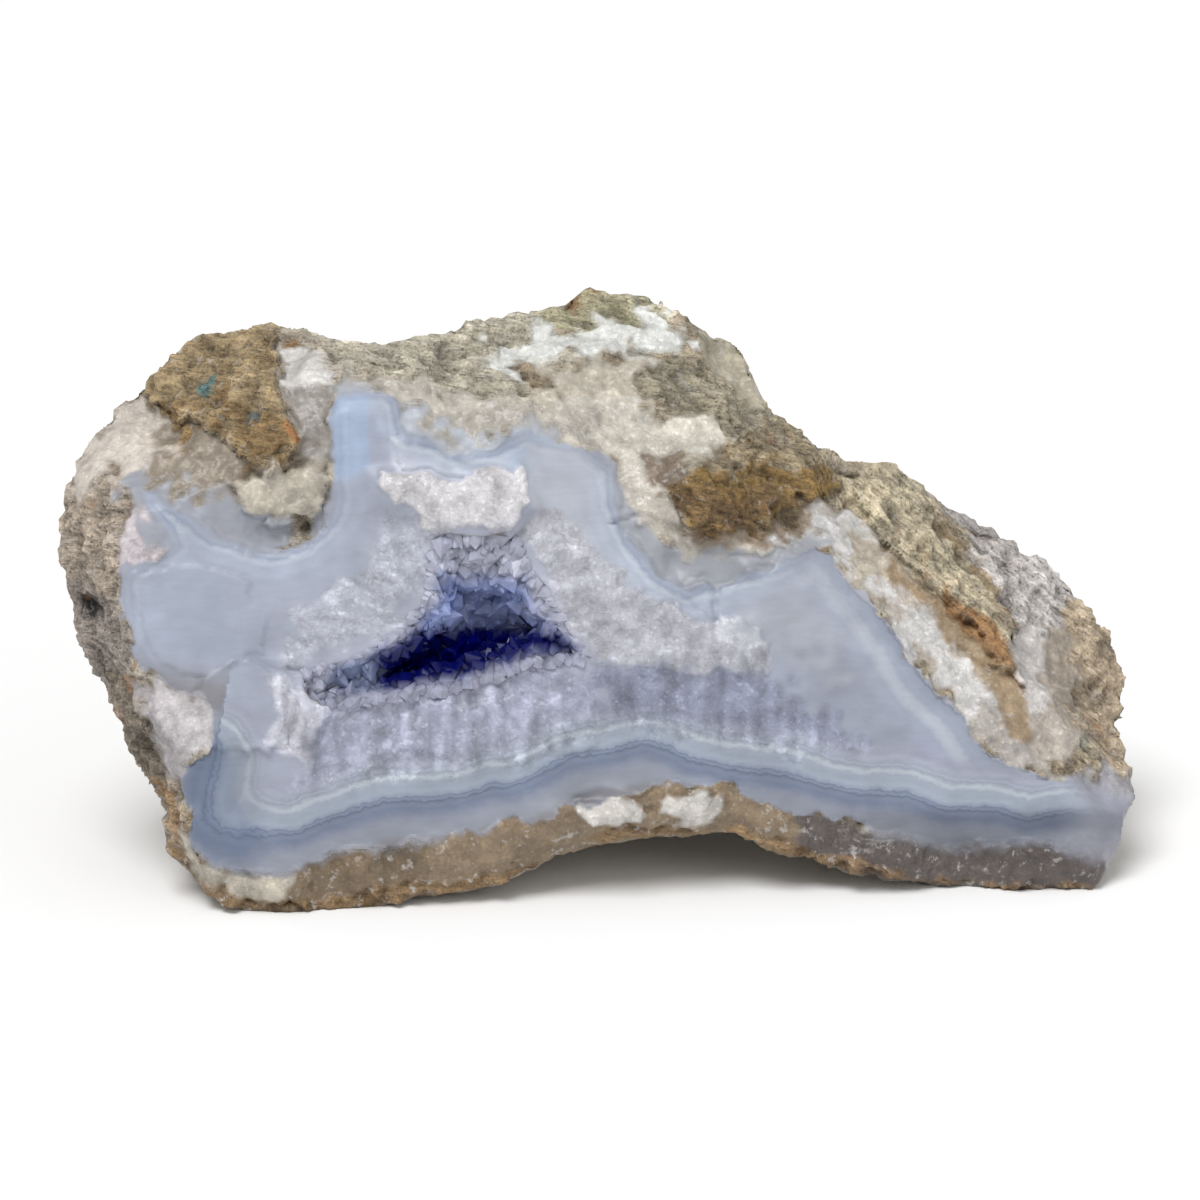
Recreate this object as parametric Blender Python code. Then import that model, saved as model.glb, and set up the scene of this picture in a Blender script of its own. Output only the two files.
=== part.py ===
"""Blue lace agate geode: a broken half of one nodule, with a crystal-lined hollow in its face.

Every size here is in millimetres and is turned into metres when a mesh is made. The stone is laid
out as it faces the viewer, as (across, up) with depth going away, and is then tipped back by LEAN
onto its two feet. Depths on the broken face are measured away from the viewer, so a proud form has
a negative one.
"""

import math
import random

import bmesh
import bpy
import numpy as np
from mathutils import Matrix, Vector, noise
from mathutils.bvhtree import BVHTree

MM = 0.001
LEAN = math.radians(18.0)

# The broken face is a plane that falls away to the right and a little towards its foot
FACE_START = -50.0
FACE_FALL_ACROSS = 0.088
FACE_FALL_UP = -0.07
BLOCK_FRONT = -16.0
BLOCK_BACK = 84.0

# Outline of the whole stone, clockwise from its left tip
OUTLINE = [
    (-81.6, 55), (-81, 60.5), (-80, 67), (-79.5, 71.5), (-82, 77), (-83, 83), (-80, 88),
    (-74, 89.5), (-68, 89), (-63.5, 87), (-57.5, 87.4), (-53.5, 86.8), (-52.5, 88.3),
    (-49.5, 88.8), (-45, 87.2), (-42, 85.8), (-36, 84.8), (-30, 86.3), (-25.5, 87.2),
    (-21.5, 89), (-17, 90.5), (-12.5, 90.4), (-8, 90.5), (-6, 92.5), (-4, 94.3), (-0.5, 96),
    (6.5, 94.5), (10.5, 91.5), (13, 88.8), (16, 87.8), (22.5, 86.5), (23.5, 83), (24, 78),
    (25.8, 75.5), (29.3, 72.6), (34, 69.5), (39, 67), (42.5, 68), (45.8, 67), (49.2, 64.3),
    (55, 60.8), (60, 59.8), (64, 56), (68, 54.5), (76.5, 57), (80.5, 54.5), (83, 50.5),
    (82.5, 45), (82, 38), (84, 31.5), (86.5, 25), (86, 18.5), (87, 14), (87.5, 7), (87, 1),
    (82, -1.5), (70, 0.5), (57.5, 0), (51, 0.5), (44.5, 1.8), (38.5, 4.2), (35.5, 5.6), (30, 7.2),
    (27, 8), (21, 10.6), (12, 10.4), (6, 11.3), (0, 9.8), (-3.3, 8), (-6.5, 5.6), (-9.5, 4),
    (-15.5, 3.2), (-21.3, 2.4), (-27.2, 2), (-33, 0.5), (-39, -0.8), (-42, -2), (-51.3, -1.8),
    (-57.8, 0), (-61.2, 2.3), (-63.2, 5.9), (-65, 9), (-65, 12.5), (-65.3, 15.6), (-68, 18.8),
    (-70, 22), (-71.5, 25), (-73.3, 30.8), (-75, 33.7), (-76.8, 36.7), (-78.8, 40),
    (-80, 45.5), (-81, 51.5),
]

# Where the banded agate begins inside the rind
AGATE = [
    (-71, 47), (-71, 50.5), (-64, 55), (-69, 63.5), (-61, 59.5), (-53, 55), (-44, 55),
    (-40.5, 59), (-40, 75.5), (-38.5, 78), (-30.5, 78), (-29, 72), (-20.5, 69), (-11.5, 72),
    (-4, 70), (2, 66.5), (2, 61), (9, 50.5), (17.5, 49), (35, 53.5), (44.5, 41.5), (59, 23),
    (68, 19.5), (77, 14), (77, 10), (50, 10), (31, 14), (20.5, 19), (6, 19), (-24, 11),
    (-52, 5), (-61, 10.5), (-62, 22), (-68, 34),
]

# Lip of the hollow, clockwise from its left end
LIP = [
    (-43.5, 36), (-36, 38), (-32.5, 40), (-30.5, 41), (-29.5, 43), (-26.5, 45.5), (-25.5, 47),
    (-25, 52.5), (-23.5, 57), (-17.5, 56), (-12.5, 57.5), (-12.5, 53), (-10.5, 51), (-7.5, 48),
    (-5, 42), (-2.5, 39.5), (-3, 37.5), (-7, 38), (-11, 37.3), (-14, 36.3), (-17.5, 35),
    (-22.5, 33.6), (-28, 33), (-34, 32), (-39, 31.2), (-42.5, 31), (-44.5, 33.5),
]

# Broken planes of the front: a point (across, up), then how fast the plane falls away per
# millimetre across and up. Each starts from the face at its point.
FRONT_CUTS = {
    "upper left slab": ((-54, 67), (-0.45, 0.9)),
    "left side": ((-70, 53), (-1.1, 0.15)),
    "lower left side": ((-66, 33), (-1.05, -0.35)),
    "top rind": ((-30, 77.5), (0.0, 1.3)),
    "peak": ((0, 70), (0.25, 0.95)),
    "right slope": ((49.5, 34.8), (0.76, 0.79)),
    "right end": ((73.5, 27), (1.9, 1.0)),
}

# Broken planes of the back and the underside: a point and the way the plane faces, both as
# (x, y, z) of the standing stone
BACK_CUTS = {
    "back": ((0, 68, 30), (0.0, 1.0, 0.15)),
    "back left": ((-60, 52, 35), (-0.75, 0.8, 0.1)),
    "back right": ((68, 58, 20), (0.7, 0.8, 0.15)),
    "back top left": ((-40, 60, 72), (-0.1, 0.75, 0.9)),
    "back top right": ((30, 58, 68), (0.5, 0.6, 0.8)),
    "back foot": ((0, 54, 2), (0.0, 0.7, -0.7)),
    "left foot side": ((-72, 30, 12), (-0.8, 0.2, -0.55)),
    "right foot side": ((78, 30, 8), (0.75, 0.2, -0.6)),
}

# Underside between the two feet, as (x, z): flat under each foot, a low vault between them
UNDERSIDE = [
    (-95, -1.3), (-36, -1.3), (-27, -0.2), (-15, 1.4), (-5, 4.0), (6, 7.6), (20, 8.0),
    (32, 4.4), (44, 0.8), (54, -1.3), (95, -1.3),
]
UNDER_BOTTOM = -40.0
UNDER_FRONT = -60.0
UNDER_LENGTH = 180.0

# Forms on the face that stand proud or lie deep: outline (across, up), depth, width of its step
FORMS = {
    "slab": (-3.4, 0.8, [
        (-75, 78), (-71, 80), (-66.5, 76.5), (-64.5, 74.5), (-58, 72), (-55, 69.5), (-52.5, 68),
        (-49.5, 65.5), (-46.5, 68.5), (-45, 72.5), (-47.5, 77), (-49.5, 84.5), (-50, 92), (-72, 90),
    ]),
    "rock lump": (-4.4, 3.0, [
        (11, 63.5), (12.5, 66.5), (15, 68.5), (21, 70.5), (28.5, 71), (35, 69), (37.5, 66.5),
        (36, 63.5), (30, 62), (25.5, 59), (20, 57.5), (15, 57.5), (12, 59.5),
    ]),
    "rock plate": (-3.0, 0.8, [
        (38, 66.5), (42, 70), (53, 63), (61.5, 56), (62.5, 47), (64, 41), (64.5, 33.5),
        (62.5, 35), (58.5, 41), (54, 45.5), (50, 50.5), (45, 55), (41, 59),
    ]),
    "frosted ledge": (-2.0, 0.7, [
        (-35, 66.5), (-29, 66), (-16, 66), (-12, 68), (-11, 65), (-9.5, 60.5), (-12, 58.5),
        (-17, 56), (-23, 57), (-28, 59.5), (-33, 60),
    ]),
    "right shelf": (-1.4, 0.7, [
        (-4, 39.5), (0, 38), (6, 37), (13.5, 36), (24, 36), (25, 41), (22, 44), (18, 42.5),
        (15, 46), (6, 48.5), (0, 53), (-6, 56), (-9, 53), (-7, 47), (-5, 42),
    ]),
    "left step": (-1.2, 0.8, [
        (-62, 22), (-58, 24.5), (-52.5, 25), (-46.5, 25), (-45, 32), (-46.5, 36.5), (-54, 38),
        (-60, 33.5), (-64, 27.5),
    ]),
    "broken patch": (-1.5, 0.8, [
        (-46.5, 36.5), (-42.5, 36), (-40.5, 32), (-41.5, 26), (-45, 24), (-47, 29),
    ]),
    "cream lumps": (-2.6, 1.4, [
        (-55, 63.5), (-52, 65.5), (-45, 67.5), (-41, 66.5), (-40.5, 62), (-43, 59), (-48, 58),
        (-53, 60),
    ]),
    "left quartz in the lower rind": (-1.6, 1.0, [
        (-4, 17), (0, 18), (6, 17), (7.5, 15), (4.5, 12.5), (-1.5, 13),
    ]),
    "right quartz in the lower rind": (-1.4, 1.0, [
        (9, 17), (13.5, 18.5), (18, 17), (17.5, 14), (12, 13), (9.5, 14.5),
    ]),
    "quartz by the slab": (-1.6, 1.2, [
        (-49, 84), (-45, 84.5), (-40.5, 82.5), (-40, 79), (-43.5, 78), (-47, 79),
    ]),
    "chunk behind the peak": (9.0, 1.5, [
        (15, 90), (24, 88), (26, 76.5), (21, 76.5), (16, 81),
    ]),
    "grey rock": (-1.6, 1.2, [
        (4.5, 81), (10, 84), (16.5, 83.5), (22.5, 77.5), (24.5, 74), (19.5, 72.5), (12, 75.5),
        (7, 77.5),
    ]),
    "grey scallop": (1.3, 1.0, [
        (2, 59), (7.5, 59.5), (15, 54.5), (21, 53), (30, 55), (23.5, 51), (17.5, 49),
        (13.5, 48.5), (9, 50.5), (4.5, 56),
    ]),
    "pit": (2.4, 1.0, [(-79.5, 46.5), (-77, 47.5), (-75.5, 45.5), (-77.5, 43.5)]),
}

# How far the front edge of the stone is worn back, and over what width
EDGE_WEAR = 3.2
EDGE_WIDTH = 6.0

# Roughness of the surface: (size of the lumps, their height)
ROCK_LUMPS = [(26.0, 2.4), (11.0, 1.5), (5.0, 0.8)]
FACE_LUMPS = [(14.0, 0.4), (5.0, 0.25)]
LUMPS_START = (7.3, 1.9, 4.4)
CREASE = 2.6
LUMPS_LEVEL = 0.5
SIDE_SHARE = 0.3
QUARTZ_POINTS = (4.2, 0.9)
QUARTZ_FORMS = (
    "frosted ledge", "right shelf", "broken patch", "quartz by the slab",
    "left quartz in the lower rind", "right quartz in the lower rind",
)
GRAIN = 1.3

# Where a surface counts as front, how soon the agate starts inside its border, and how much the
# back is rounded
FRONT_SHARPNESS = 1.6
AGATE_EDGE = 3.0
BACK_START = 0.6
BACK_SHARPNESS = 2.5
BACK_ROUNDING = 24
FLOOR_LEVEL = -0.8
FLOOR_SIZE = 400.0

# How the triangles are shared: the face keeps more of its own than the back does
FRONT_CARE = 0.6
PLAIN_FACTOR = 0.1
KEPT_SHARE = 0.1115

# The hollow, as steps inward from the lip: depth behind the face, size against the lip, how far
# its middle moves (across, up), and how much is left of the height above its low part
HOLLOW = [
    (-9.0, 1.0, (0.0, 0.0), 1.0),
    (1.5, 1.0, (0.0, 0.0), 1.0),
    (5.0, 1.0, (0.2, -0.3), 0.74),
    (9.0, 1.0, (0.3, -0.8), 0.45),
    (13.0, 0.97, (0.3, -1.0), 0.24),
    (18.0, 0.84, (0.0, -0.8), 0.14),
    (22.5, 0.6, (-0.5, -0.4), 0.1),
]
CRUST_STEPS = [
    (0.9, 1.0, (0.0, 0.0), 1.0),
    (3.0, 1.0, (0.1, -0.1), 0.88),
    (5.4, 1.0, (0.2, -0.3), 0.7),
    (8.0, 1.0, (0.3, -0.7), 0.52),
    (10.6, 0.99, (0.3, -0.9), 0.36),
    (13.2, 0.96, (0.3, -1.0), 0.24),
    (15.8, 0.89, (0.1, -0.9), 0.18),
    (18.2, 0.8, (0.0, -0.8), 0.14),
    (20.4, 0.62, (-0.4, -0.5), 0.11),
]
LOW_LINE_START = (-43.0, 32.5)
LOW_LINE_RISE = 0.14
LOW_PART = 7.0
LIP_POINTS = 46
GAP = 0.45
CRUST = 1.5
CRUST_START = 0.6
CRYSTAL = (0.6, 1.25)
CRYSTAL_TILT = 0.3
CRYSTAL_REACH = 0.35
CRYSTAL_MOST = 3.4
CRYSTAL_JITTER = 0.2
JITTER_ACROSS = 0.6
JITTER_UP = 0.5
NARROWING_TRIES = 3
NARROWING = 0.7
CROWDED = 0.75

GEODE_COLOUR = (0.36, 0.39, 0.46, 1.0)
CRYSTAL_COLOUR = (0.08, 0.10, 0.32, 1.0)

random.seed(11)


def clear_scene():
    for old in list(bpy.data.objects):
        bpy.data.objects.remove(old, do_unlink=True)


def make_material(name, colour, roughness):
    material = bpy.data.materials.new(name)
    material.use_nodes = True
    shader = material.node_tree.nodes["Principled BSDF"]
    shader.inputs["Base Color"].default_value = colour
    shader.inputs["Roughness"].default_value = roughness
    shader.inputs["Metallic"].default_value = 0.0
    material.diffuse_color = colour
    return material


def face_depth(across, up):
    """Depth of the broken face at a point of the layout."""
    return FACE_FALL_ACROSS * (across - FACE_START) + FACE_FALL_UP * up


def standing():
    """The turn from the layout (across, depth, up) to the standing stone."""
    return Matrix.Rotation(-LEAN, 4, "X")


def new_object(name, bm, material=None):
    mesh = bpy.data.meshes.new(name)
    bm.to_mesh(mesh)
    bm.free()
    item = bpy.data.objects.new(name, mesh)
    bpy.context.scene.collection.objects.link(item)
    if material:
        mesh.materials.append(material)
    return item


def apply_modifiers(item):
    """Replaces the object's mesh by what its modifiers make of it."""
    graph = bpy.context.evaluated_depsgraph_get()
    mesh = bpy.data.meshes.new_from_object(item.evaluated_get(graph))
    item.modifiers.clear()
    item.data = mesh


def cut(bm, point, facing):
    """Takes away what lies past a plane and closes the cut."""
    everything = bm.verts[:] + bm.edges[:] + bm.faces[:]
    result = bmesh.ops.bisect_plane(
        bm, geom=everything, dist=1e-7, plane_co=point, plane_no=facing, clear_outer=True
    )
    edges = [part for part in result["geom_cut"] if isinstance(part, bmesh.types.BMEdge)]
    bmesh.ops.holes_fill(bm, edges=edges, sides=0)


def chiselled_block():
    """The outline drawn out in depth and broken along the front and back planes."""
    bm = bmesh.new()
    corners = [bm.verts.new((a * MM, BLOCK_FRONT * MM, u * MM)) for a, u in OUTLINE]
    front = bm.faces.new(corners)
    drawn = bmesh.ops.extrude_face_region(bm, geom=[front])["geom"]
    moved = [part for part in drawn if isinstance(part, bmesh.types.BMVert)]
    bmesh.ops.translate(bm, verts=moved, vec=(0, (BLOCK_BACK - BLOCK_FRONT) * MM, 0))
    bmesh.ops.recalc_face_normals(bm, faces=bm.faces)

    face_point = Vector((FACE_START, face_depth(FACE_START, 0.0), 0.0)) * MM
    cut(bm, face_point, Vector((FACE_FALL_ACROSS, -1.0, FACE_FALL_UP)))
    for (across, up), (fall_across, fall_up) in FRONT_CUTS.values():
        point = Vector((across, face_depth(across, up), up)) * MM
        cut(bm, point, Vector((fall_across, -1.0, fall_up)))

    bmesh.ops.transform(bm, matrix=standing(), verts=bm.verts)
    for point, facing in BACK_CUTS.values():
        cut(bm, Vector(point) * MM, Vector(facing))
    bmesh.ops.recalc_face_normals(bm, faces=bm.faces)
    return bm


def underside_cutter():
    """A long block with the vault and the flats of the feet as its top."""
    bm = bmesh.new()
    ends = [(UNDERSIDE[-1][0], UNDER_BOTTOM), (UNDERSIDE[0][0], UNDER_BOTTOM)]
    corners = [bm.verts.new((x * MM, UNDER_FRONT * MM, z * MM)) for x, z in UNDERSIDE + ends]
    side = bm.faces.new(corners)
    drawn = bmesh.ops.extrude_face_region(bm, geom=[side])["geom"]
    moved = [part for part in drawn if isinstance(part, bmesh.types.BMVert)]
    bmesh.ops.translate(bm, verts=moved, vec=(0, UNDER_LENGTH * MM, 0))
    bmesh.ops.recalc_face_normals(bm, faces=bm.faces)
    return as_cutter("underside_cutter", bm)


def as_cutter(name, bm):
    cutter = new_object(name, bm)
    cutter.hide_render = True
    cutter.display_type = "WIRE"
    return cutter


def cut_with(item, cutter):
    boolean = item.modifiers.new("cut " + cutter.name, "BOOLEAN")
    boolean.operation = "DIFFERENCE"
    boolean.solver = "EXACT"
    boolean.object = cutter
    apply_modifiers(item)


def inside_by(points, outline):
    """Distance inside a closed outline for each (across, up) point, negative outside it."""
    corners = np.array(outline, float)
    ends = np.roll(corners, -1, axis=0)
    nearest = np.full(len(points), 1e9)
    crossings = np.zeros(len(points), int)
    for start, end in zip(corners, ends):
        along = end - start
        share = ((points - start) @ along / (along @ along)).clip(0, 1)
        offset = points - (start + share[:, None] * along)
        nearest = np.minimum(nearest, np.hypot(offset[:, 0], offset[:, 1]))
        spans = (start[1] > points[:, 1]) != (end[1] > points[:, 1])
        rise = end[1] - start[1]
        if rise:
            crosses = start[0] + (points[:, 1] - start[1]) / rise * along[0]
            crossings += spans & (points[:, 0] < crosses)
    return np.where(crossings % 2 == 1, nearest, -nearest)


def smooth_step(values):
    share = values.clip(0, 1)
    return share * share * (3 - 2 * share)


def lumps(point, layers):
    """Height of rough rock at a point in millimetres: rounded lumps with sharp creases between."""
    height = 0.0
    for size, tall in layers:
        wave = noise.noise(Vector(point) / size + Vector(LUMPS_START))
        height += tall * (1 - CREASE * abs(wave))
    return height - sum(tall for _, tall in layers) * LUMPS_LEVEL


def crystals(point, size, tall):
    """Height of broken quartz at a point: a blunt point in the middle of each cell."""
    distances = noise.voronoi(Vector(point) / size, distance_metric="DISTANCE")[0]
    return tall * (0.5 - distances[0]) * 2


def surface_of(item):
    """Places and facings of the mesh's vertices, in millimetres in the layout."""
    mesh = item.data
    place = np.empty(len(mesh.vertices) * 3)
    facing = np.empty(len(mesh.vertices) * 3)
    mesh.vertices.foreach_get("co", place)
    mesh.vertices.foreach_get("normal", facing)
    tip = np.array(standing().to_3x3())
    return place.reshape(-1, 3) / MM @ tip, facing.reshape(-1, 3) @ tip


def put_surface(item, place):
    tip = np.array(standing().to_3x3())
    item.data.vertices.foreach_set("co", (place @ tip.T * MM).reshape(-1))
    item.data.update()


def weigh(item, name, weights):
    group = item.vertex_groups.new(name=name)
    for index, weight in enumerate(weights):
        group.add([index], float(weight), "REPLACE")


def even_grid(item):
    """Covers the surface in small even squares, with no folds."""
    remesh = item.modifiers.new("even grid", "REMESH")
    remesh.mode = "VOXEL"
    remesh.voxel_size = GRAIN * MM
    apply_modifiers(item)


def round_back(item):
    """Wears the broken planes of the back and the underside into one lumpy rind."""
    _, facing = surface_of(item)
    weigh(item, "back", 1 - smooth_step(BACK_START - facing[:, 1] * BACK_SHARPNESS))
    softer = item.modifiers.new("round the back", "SMOOTH")
    softer.factor = 0.5
    softer.iterations = BACK_ROUNDING
    softer.vertex_group = "back"
    apply_modifiers(item)
    item.vertex_groups.clear()


def shape_surface(item):
    """Moves the surface into ledges, lumps, pits and rough rock."""
    place, facing = surface_of(item)
    flat = place[:, [0, 2]]
    towards = smooth_step(-facing[:, 1] * FRONT_SHARPNESS)
    in_agate = smooth_step(inside_by(flat, AGATE) / AGATE_EDGE + 0.5) * towards
    quartz = np.zeros(len(place))
    deeper = np.zeros(len(place))
    for name, (depth, width, outline) in FORMS.items():
        share = smooth_step(inside_by(flat, outline) / width + 0.5)
        deeper += depth * share
        if name in QUARTZ_FORMS:
            quartz = np.maximum(quartz, share)
    rim = 1 - inside_by(flat, OUTLINE) / EDGE_WIDTH
    deeper += EDGE_WEAR * rim.clip(0, 1) ** 2
    place[:, 1] += deeper * towards

    for index, point in enumerate(place):
        rock = lumps(point, ROCK_LUMPS) * (SIDE_SHARE + (1 - SIDE_SHARE) * abs(facing[index][1]))
        face = lumps(point, FACE_LUMPS)
        height = face * in_agate[index] + rock * (1 - in_agate[index])
        if quartz[index] > 0:
            height += quartz[index] * crystals(point, *QUARTZ_POINTS)
        point += facing[index] * height
    put_surface(item, place)


def thin_out(item):
    """Keeps the ledges and drops the triangles that say nothing, at the back most of all."""
    _, facing = surface_of(item)
    weigh(item, "plain", 1 - FRONT_CARE * smooth_step(-facing[:, 1] * FRONT_SHARPNESS))
    thinner = item.modifiers.new("thin out", "DECIMATE")
    thinner.ratio = KEPT_SHARE
    thinner.use_collapse_triangulate = True
    thinner.vertex_group = "plain"
    thinner.vertex_group_factor = PLAIN_FACTOR
    apply_modifiers(item)


def even_points(outline, count):
    """The same number of steps round any outline."""
    corners = np.array(outline + outline[:1], float)
    lengths = np.hypot(*np.diff(corners, axis=0).T)
    run = np.concatenate([[0.0], np.cumsum(lengths)])
    marks = np.linspace(0.0, run[-1], count, endpoint=False)
    return np.stack([np.interp(marks, run, corners[:, axis]) for axis in (0, 1)], axis=1)


def hollow_ring(step, crust):
    """One ring of the hollow, drawn in from its wall by the gap and the crust where there is room."""
    behind, size, (across, up), above = step
    ring = even_points(LIP, LIP_POINTS)
    low_line = LOW_LINE_START[1] + LOW_LINE_RISE * (ring[:, 0] - LOW_LINE_START[0])
    height = ring[:, 1] - low_line
    ring[:, 1] = low_line + np.minimum(height, LOW_PART) + (height - LOW_PART).clip(0) * above
    middle = ring.mean(axis=0)
    ring = middle + (ring - middle) * size + np.array([across, up])
    if crust is None:
        return ring, behind
    along = np.roll(ring, -1, axis=0) - np.roll(ring, 1, axis=0)
    along /= np.hypot(along[:, 0], along[:, 1])[:, None]
    inward = np.stack([along[:, 1], -along[:, 0]], axis=1)
    thick = np.full((len(ring), 1), float(crust))
    for _ in range(NARROWING_TRIES):
        drawn = ring + inward * (GAP + thick)
        crowded = inside_by(drawn, ring) < CROWDED * (GAP + thick[:, 0])
        thick[crowded] *= NARROWING
    return ring + inward * (GAP + thick), behind


def place_ring(verts, ring, behind, jitter=0.0):
    for vert, (across, up) in zip(verts, ring):
        shift = random.uniform(-jitter, jitter)
        depth = face_depth(across, up) + behind + shift
        vert.co = Vector((across + shift * JITTER_ACROSS, depth, up - shift * JITTER_UP)) * MM


def draw_bowl(bm, steps, crust, floor_lift, jitter, keep_mouth=False):
    """Extrudes a bowl from its mouth to its floor; gives its mouth edges, wall faces and floor."""
    ring, behind = hollow_ring(steps[0], crust)
    verts = [bm.verts.new((0, 0, 0)) for _ in ring]
    place_ring(verts, ring, behind)
    face = bm.faces.new(verts)
    mouth = list(face.edges)
    walls = []
    for number, step in enumerate(steps[1:], start=1):
        drawn = bmesh.ops.extrude_face_region(bm, geom=[face])["geom"]
        if number > 1 or not keep_mouth:
            bmesh.ops.delete(bm, geom=[face], context="FACES_ONLY")
        face = next(part for part in drawn if isinstance(part, bmesh.types.BMFace))
        ring, behind = hollow_ring(step, crust)
        lift = floor_lift if number == len(steps) - 1 else 0.0
        place_ring(face.verts, ring, behind - lift, jitter)
        walls += [other for edge in face.edges for other in edge.link_faces if other != face]
    return mouth, walls, face


def hollow_cutter():
    """The hollow as a solid, from in front of the face to its floor."""
    bm = bmesh.new()
    draw_bowl(bm, HOLLOW, None, 0.0, 0.0, keep_mouth=True)
    bmesh.ops.recalc_face_normals(bm, faces=bm.faces)
    bmesh.ops.transform(bm, matrix=standing(), verts=bm.verts)
    return as_cutter("hollow_cutter", bm)


def raise_crystals(bm, faces):
    """Turns each face of the inner wall into a quartz point that leans its own way."""
    points = bmesh.ops.poke(bm, faces=faces)["verts"]
    bmesh.ops.recalc_face_normals(bm, faces=bm.faces)
    opposite = BVHTree.FromBMesh(bm)
    for vert in points:
        vert.normal_update()
        tilt = Vector([random.uniform(-CRYSTAL_TILT, CRYSTAL_TILT) for _ in range(3)])
        inward = (vert.normal + tilt).normalized()
        clear = opposite.ray_cast(vert.co + inward * GAP * MM, inward)[3] or CRYSTAL_MOST * MM
        foot = math.sqrt(sum(face.calc_area() for face in vert.link_faces))
        tall = random.uniform(*CRYSTAL) * foot
        vert.co += inward * min(tall, clear * CRYSTAL_REACH, CRYSTAL_MOST * MM)


def crystal_crust(material):
    """The crust in the hollow: a thin shell whose inner side is all crystal points."""
    bm = bmesh.new()
    outer_steps = [(CRUST_START, *HOLLOW[1][1:])] + HOLLOW[2:]
    outer_mouth, _, _ = draw_bowl(bm, outer_steps, 0.0, GAP, 0.0)
    inner_mouth, walls, floor = draw_bowl(bm, CRUST_STEPS, CRUST, 0.0, CRYSTAL_JITTER)
    bmesh.ops.bridge_loops(bm, edges=outer_mouth + inner_mouth)
    raise_crystals(bm, walls + [floor])
    bmesh.ops.transform(bm, matrix=standing(), verts=bm.verts)
    return new_object("crystal_crust", bm, material)


def floor_cutter():
    """Everything below the level at which both feet are cut flat."""
    bm = bmesh.new()
    bmesh.ops.create_cube(bm, size=FLOOR_SIZE * MM)
    bmesh.ops.translate(bm, verts=bm.verts, vec=(0, 0, (FLOOR_LEVEL - FLOOR_SIZE / 2) * MM))
    return as_cutter("floor_cutter", bm)


def stone(material):
    item = new_object("geode", chiselled_block(), material)
    cut_with(item, underside_cutter())
    even_grid(item)
    round_back(item)
    shape_surface(item)
    even_grid(item)
    thin_out(item)
    cut_with(item, hollow_cutter())
    cut_with(item, floor_cutter())
    return item


def centre_on_origin(items):
    """Puts the origin under the middle of the stone, on the surface it rests on."""
    corners = np.array([vert.co for vert in items[0].data.vertices])
    low = corners.min(axis=0)
    high = corners.max(axis=0)
    shift = Vector((-(low[0] + high[0]) / 2, -(low[1] + high[1]) / 2, -low[2]))
    for item in items:
        item.data.transform(Matrix.Translation(shift))
    print("moved by", [round(value / MM, 3) for value in shift])


def main():
    clear_scene()
    agate = make_material("agate and rock", GEODE_COLOUR, 0.55)
    quartz = make_material("indigo quartz", CRYSTAL_COLOUR, 0.25)
    centre_on_origin([stone(agate), crystal_crust(quartz)])


main()
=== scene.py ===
import math
import random

import bmesh
import bpy
import numpy as np
from mathutils import Matrix, Vector, noise
from mathutils.bvhtree import BVHTree


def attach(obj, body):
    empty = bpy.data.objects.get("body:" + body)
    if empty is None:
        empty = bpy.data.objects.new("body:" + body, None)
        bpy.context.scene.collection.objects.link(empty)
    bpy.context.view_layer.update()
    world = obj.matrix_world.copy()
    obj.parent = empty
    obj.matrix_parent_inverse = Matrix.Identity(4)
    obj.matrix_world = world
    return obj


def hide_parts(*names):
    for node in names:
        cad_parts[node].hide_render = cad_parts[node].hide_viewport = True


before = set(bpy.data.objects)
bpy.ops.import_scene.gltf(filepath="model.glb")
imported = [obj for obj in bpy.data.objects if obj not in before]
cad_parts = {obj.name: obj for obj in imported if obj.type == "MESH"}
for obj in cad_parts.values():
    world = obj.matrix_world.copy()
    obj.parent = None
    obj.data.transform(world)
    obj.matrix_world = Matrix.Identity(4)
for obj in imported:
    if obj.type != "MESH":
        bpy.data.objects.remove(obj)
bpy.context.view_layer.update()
coarser = 1.0

# All shapes below are in millimetres, laid out as the stone faces the viewer:
# across to the right, up, and depth going away. Colours are 0 to 255 a channel.
# A pair that fade reads says where something begins to show and where it shows fully.
mm = 0.001
leanDegrees = 18.0
tip = Matrix.Rotation(math.radians(-leanDegrees), 3, "X")
tipArray = np.array(tip)
middleShift = np.array((-0.202, -35.635, 0.8))  # from the layout to the frame's origin
faceStart = -50.0
faceFallAcross = 0.088
faceFallUp = -0.07
sameCorner = 1e-6  # metres between corners that are one and the same


def shade(colour):
    # turns 0 to 255 into the strength that the shaders use, by the usual curve of screen colours
    values = np.array(colour, float) / 255
    curved = ((values + 0.055) / 1.055) ** 2.4
    return np.where(values <= 0.04045, values / 12.92, curved)


def solid(colour):
    return (*shade(colour), 1.0)


def blend(colours, colour, share):
    # lays one colour over the points' own, as far as each point's share says
    colours += (shade(colour) - colours) * share[:, None]


def rise(values):
    share = np.clip(values, 0, 1)
    return share * share * (3 - 2 * share)


def fade(values, start, end):
    # 0 at the start and beyond it, 1 at the end, with soft ends
    return rise((values - start) / (end - start))


def toLayout(points):
    return (points / mm - middleShift) @ tipArray


def toFrame(points):
    return (points @ tipArray.T + middleShift) * mm


def faceDepth(across, up):
    return faceFallAcross * (across - faceStart) + faceFallUp * up


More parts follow.
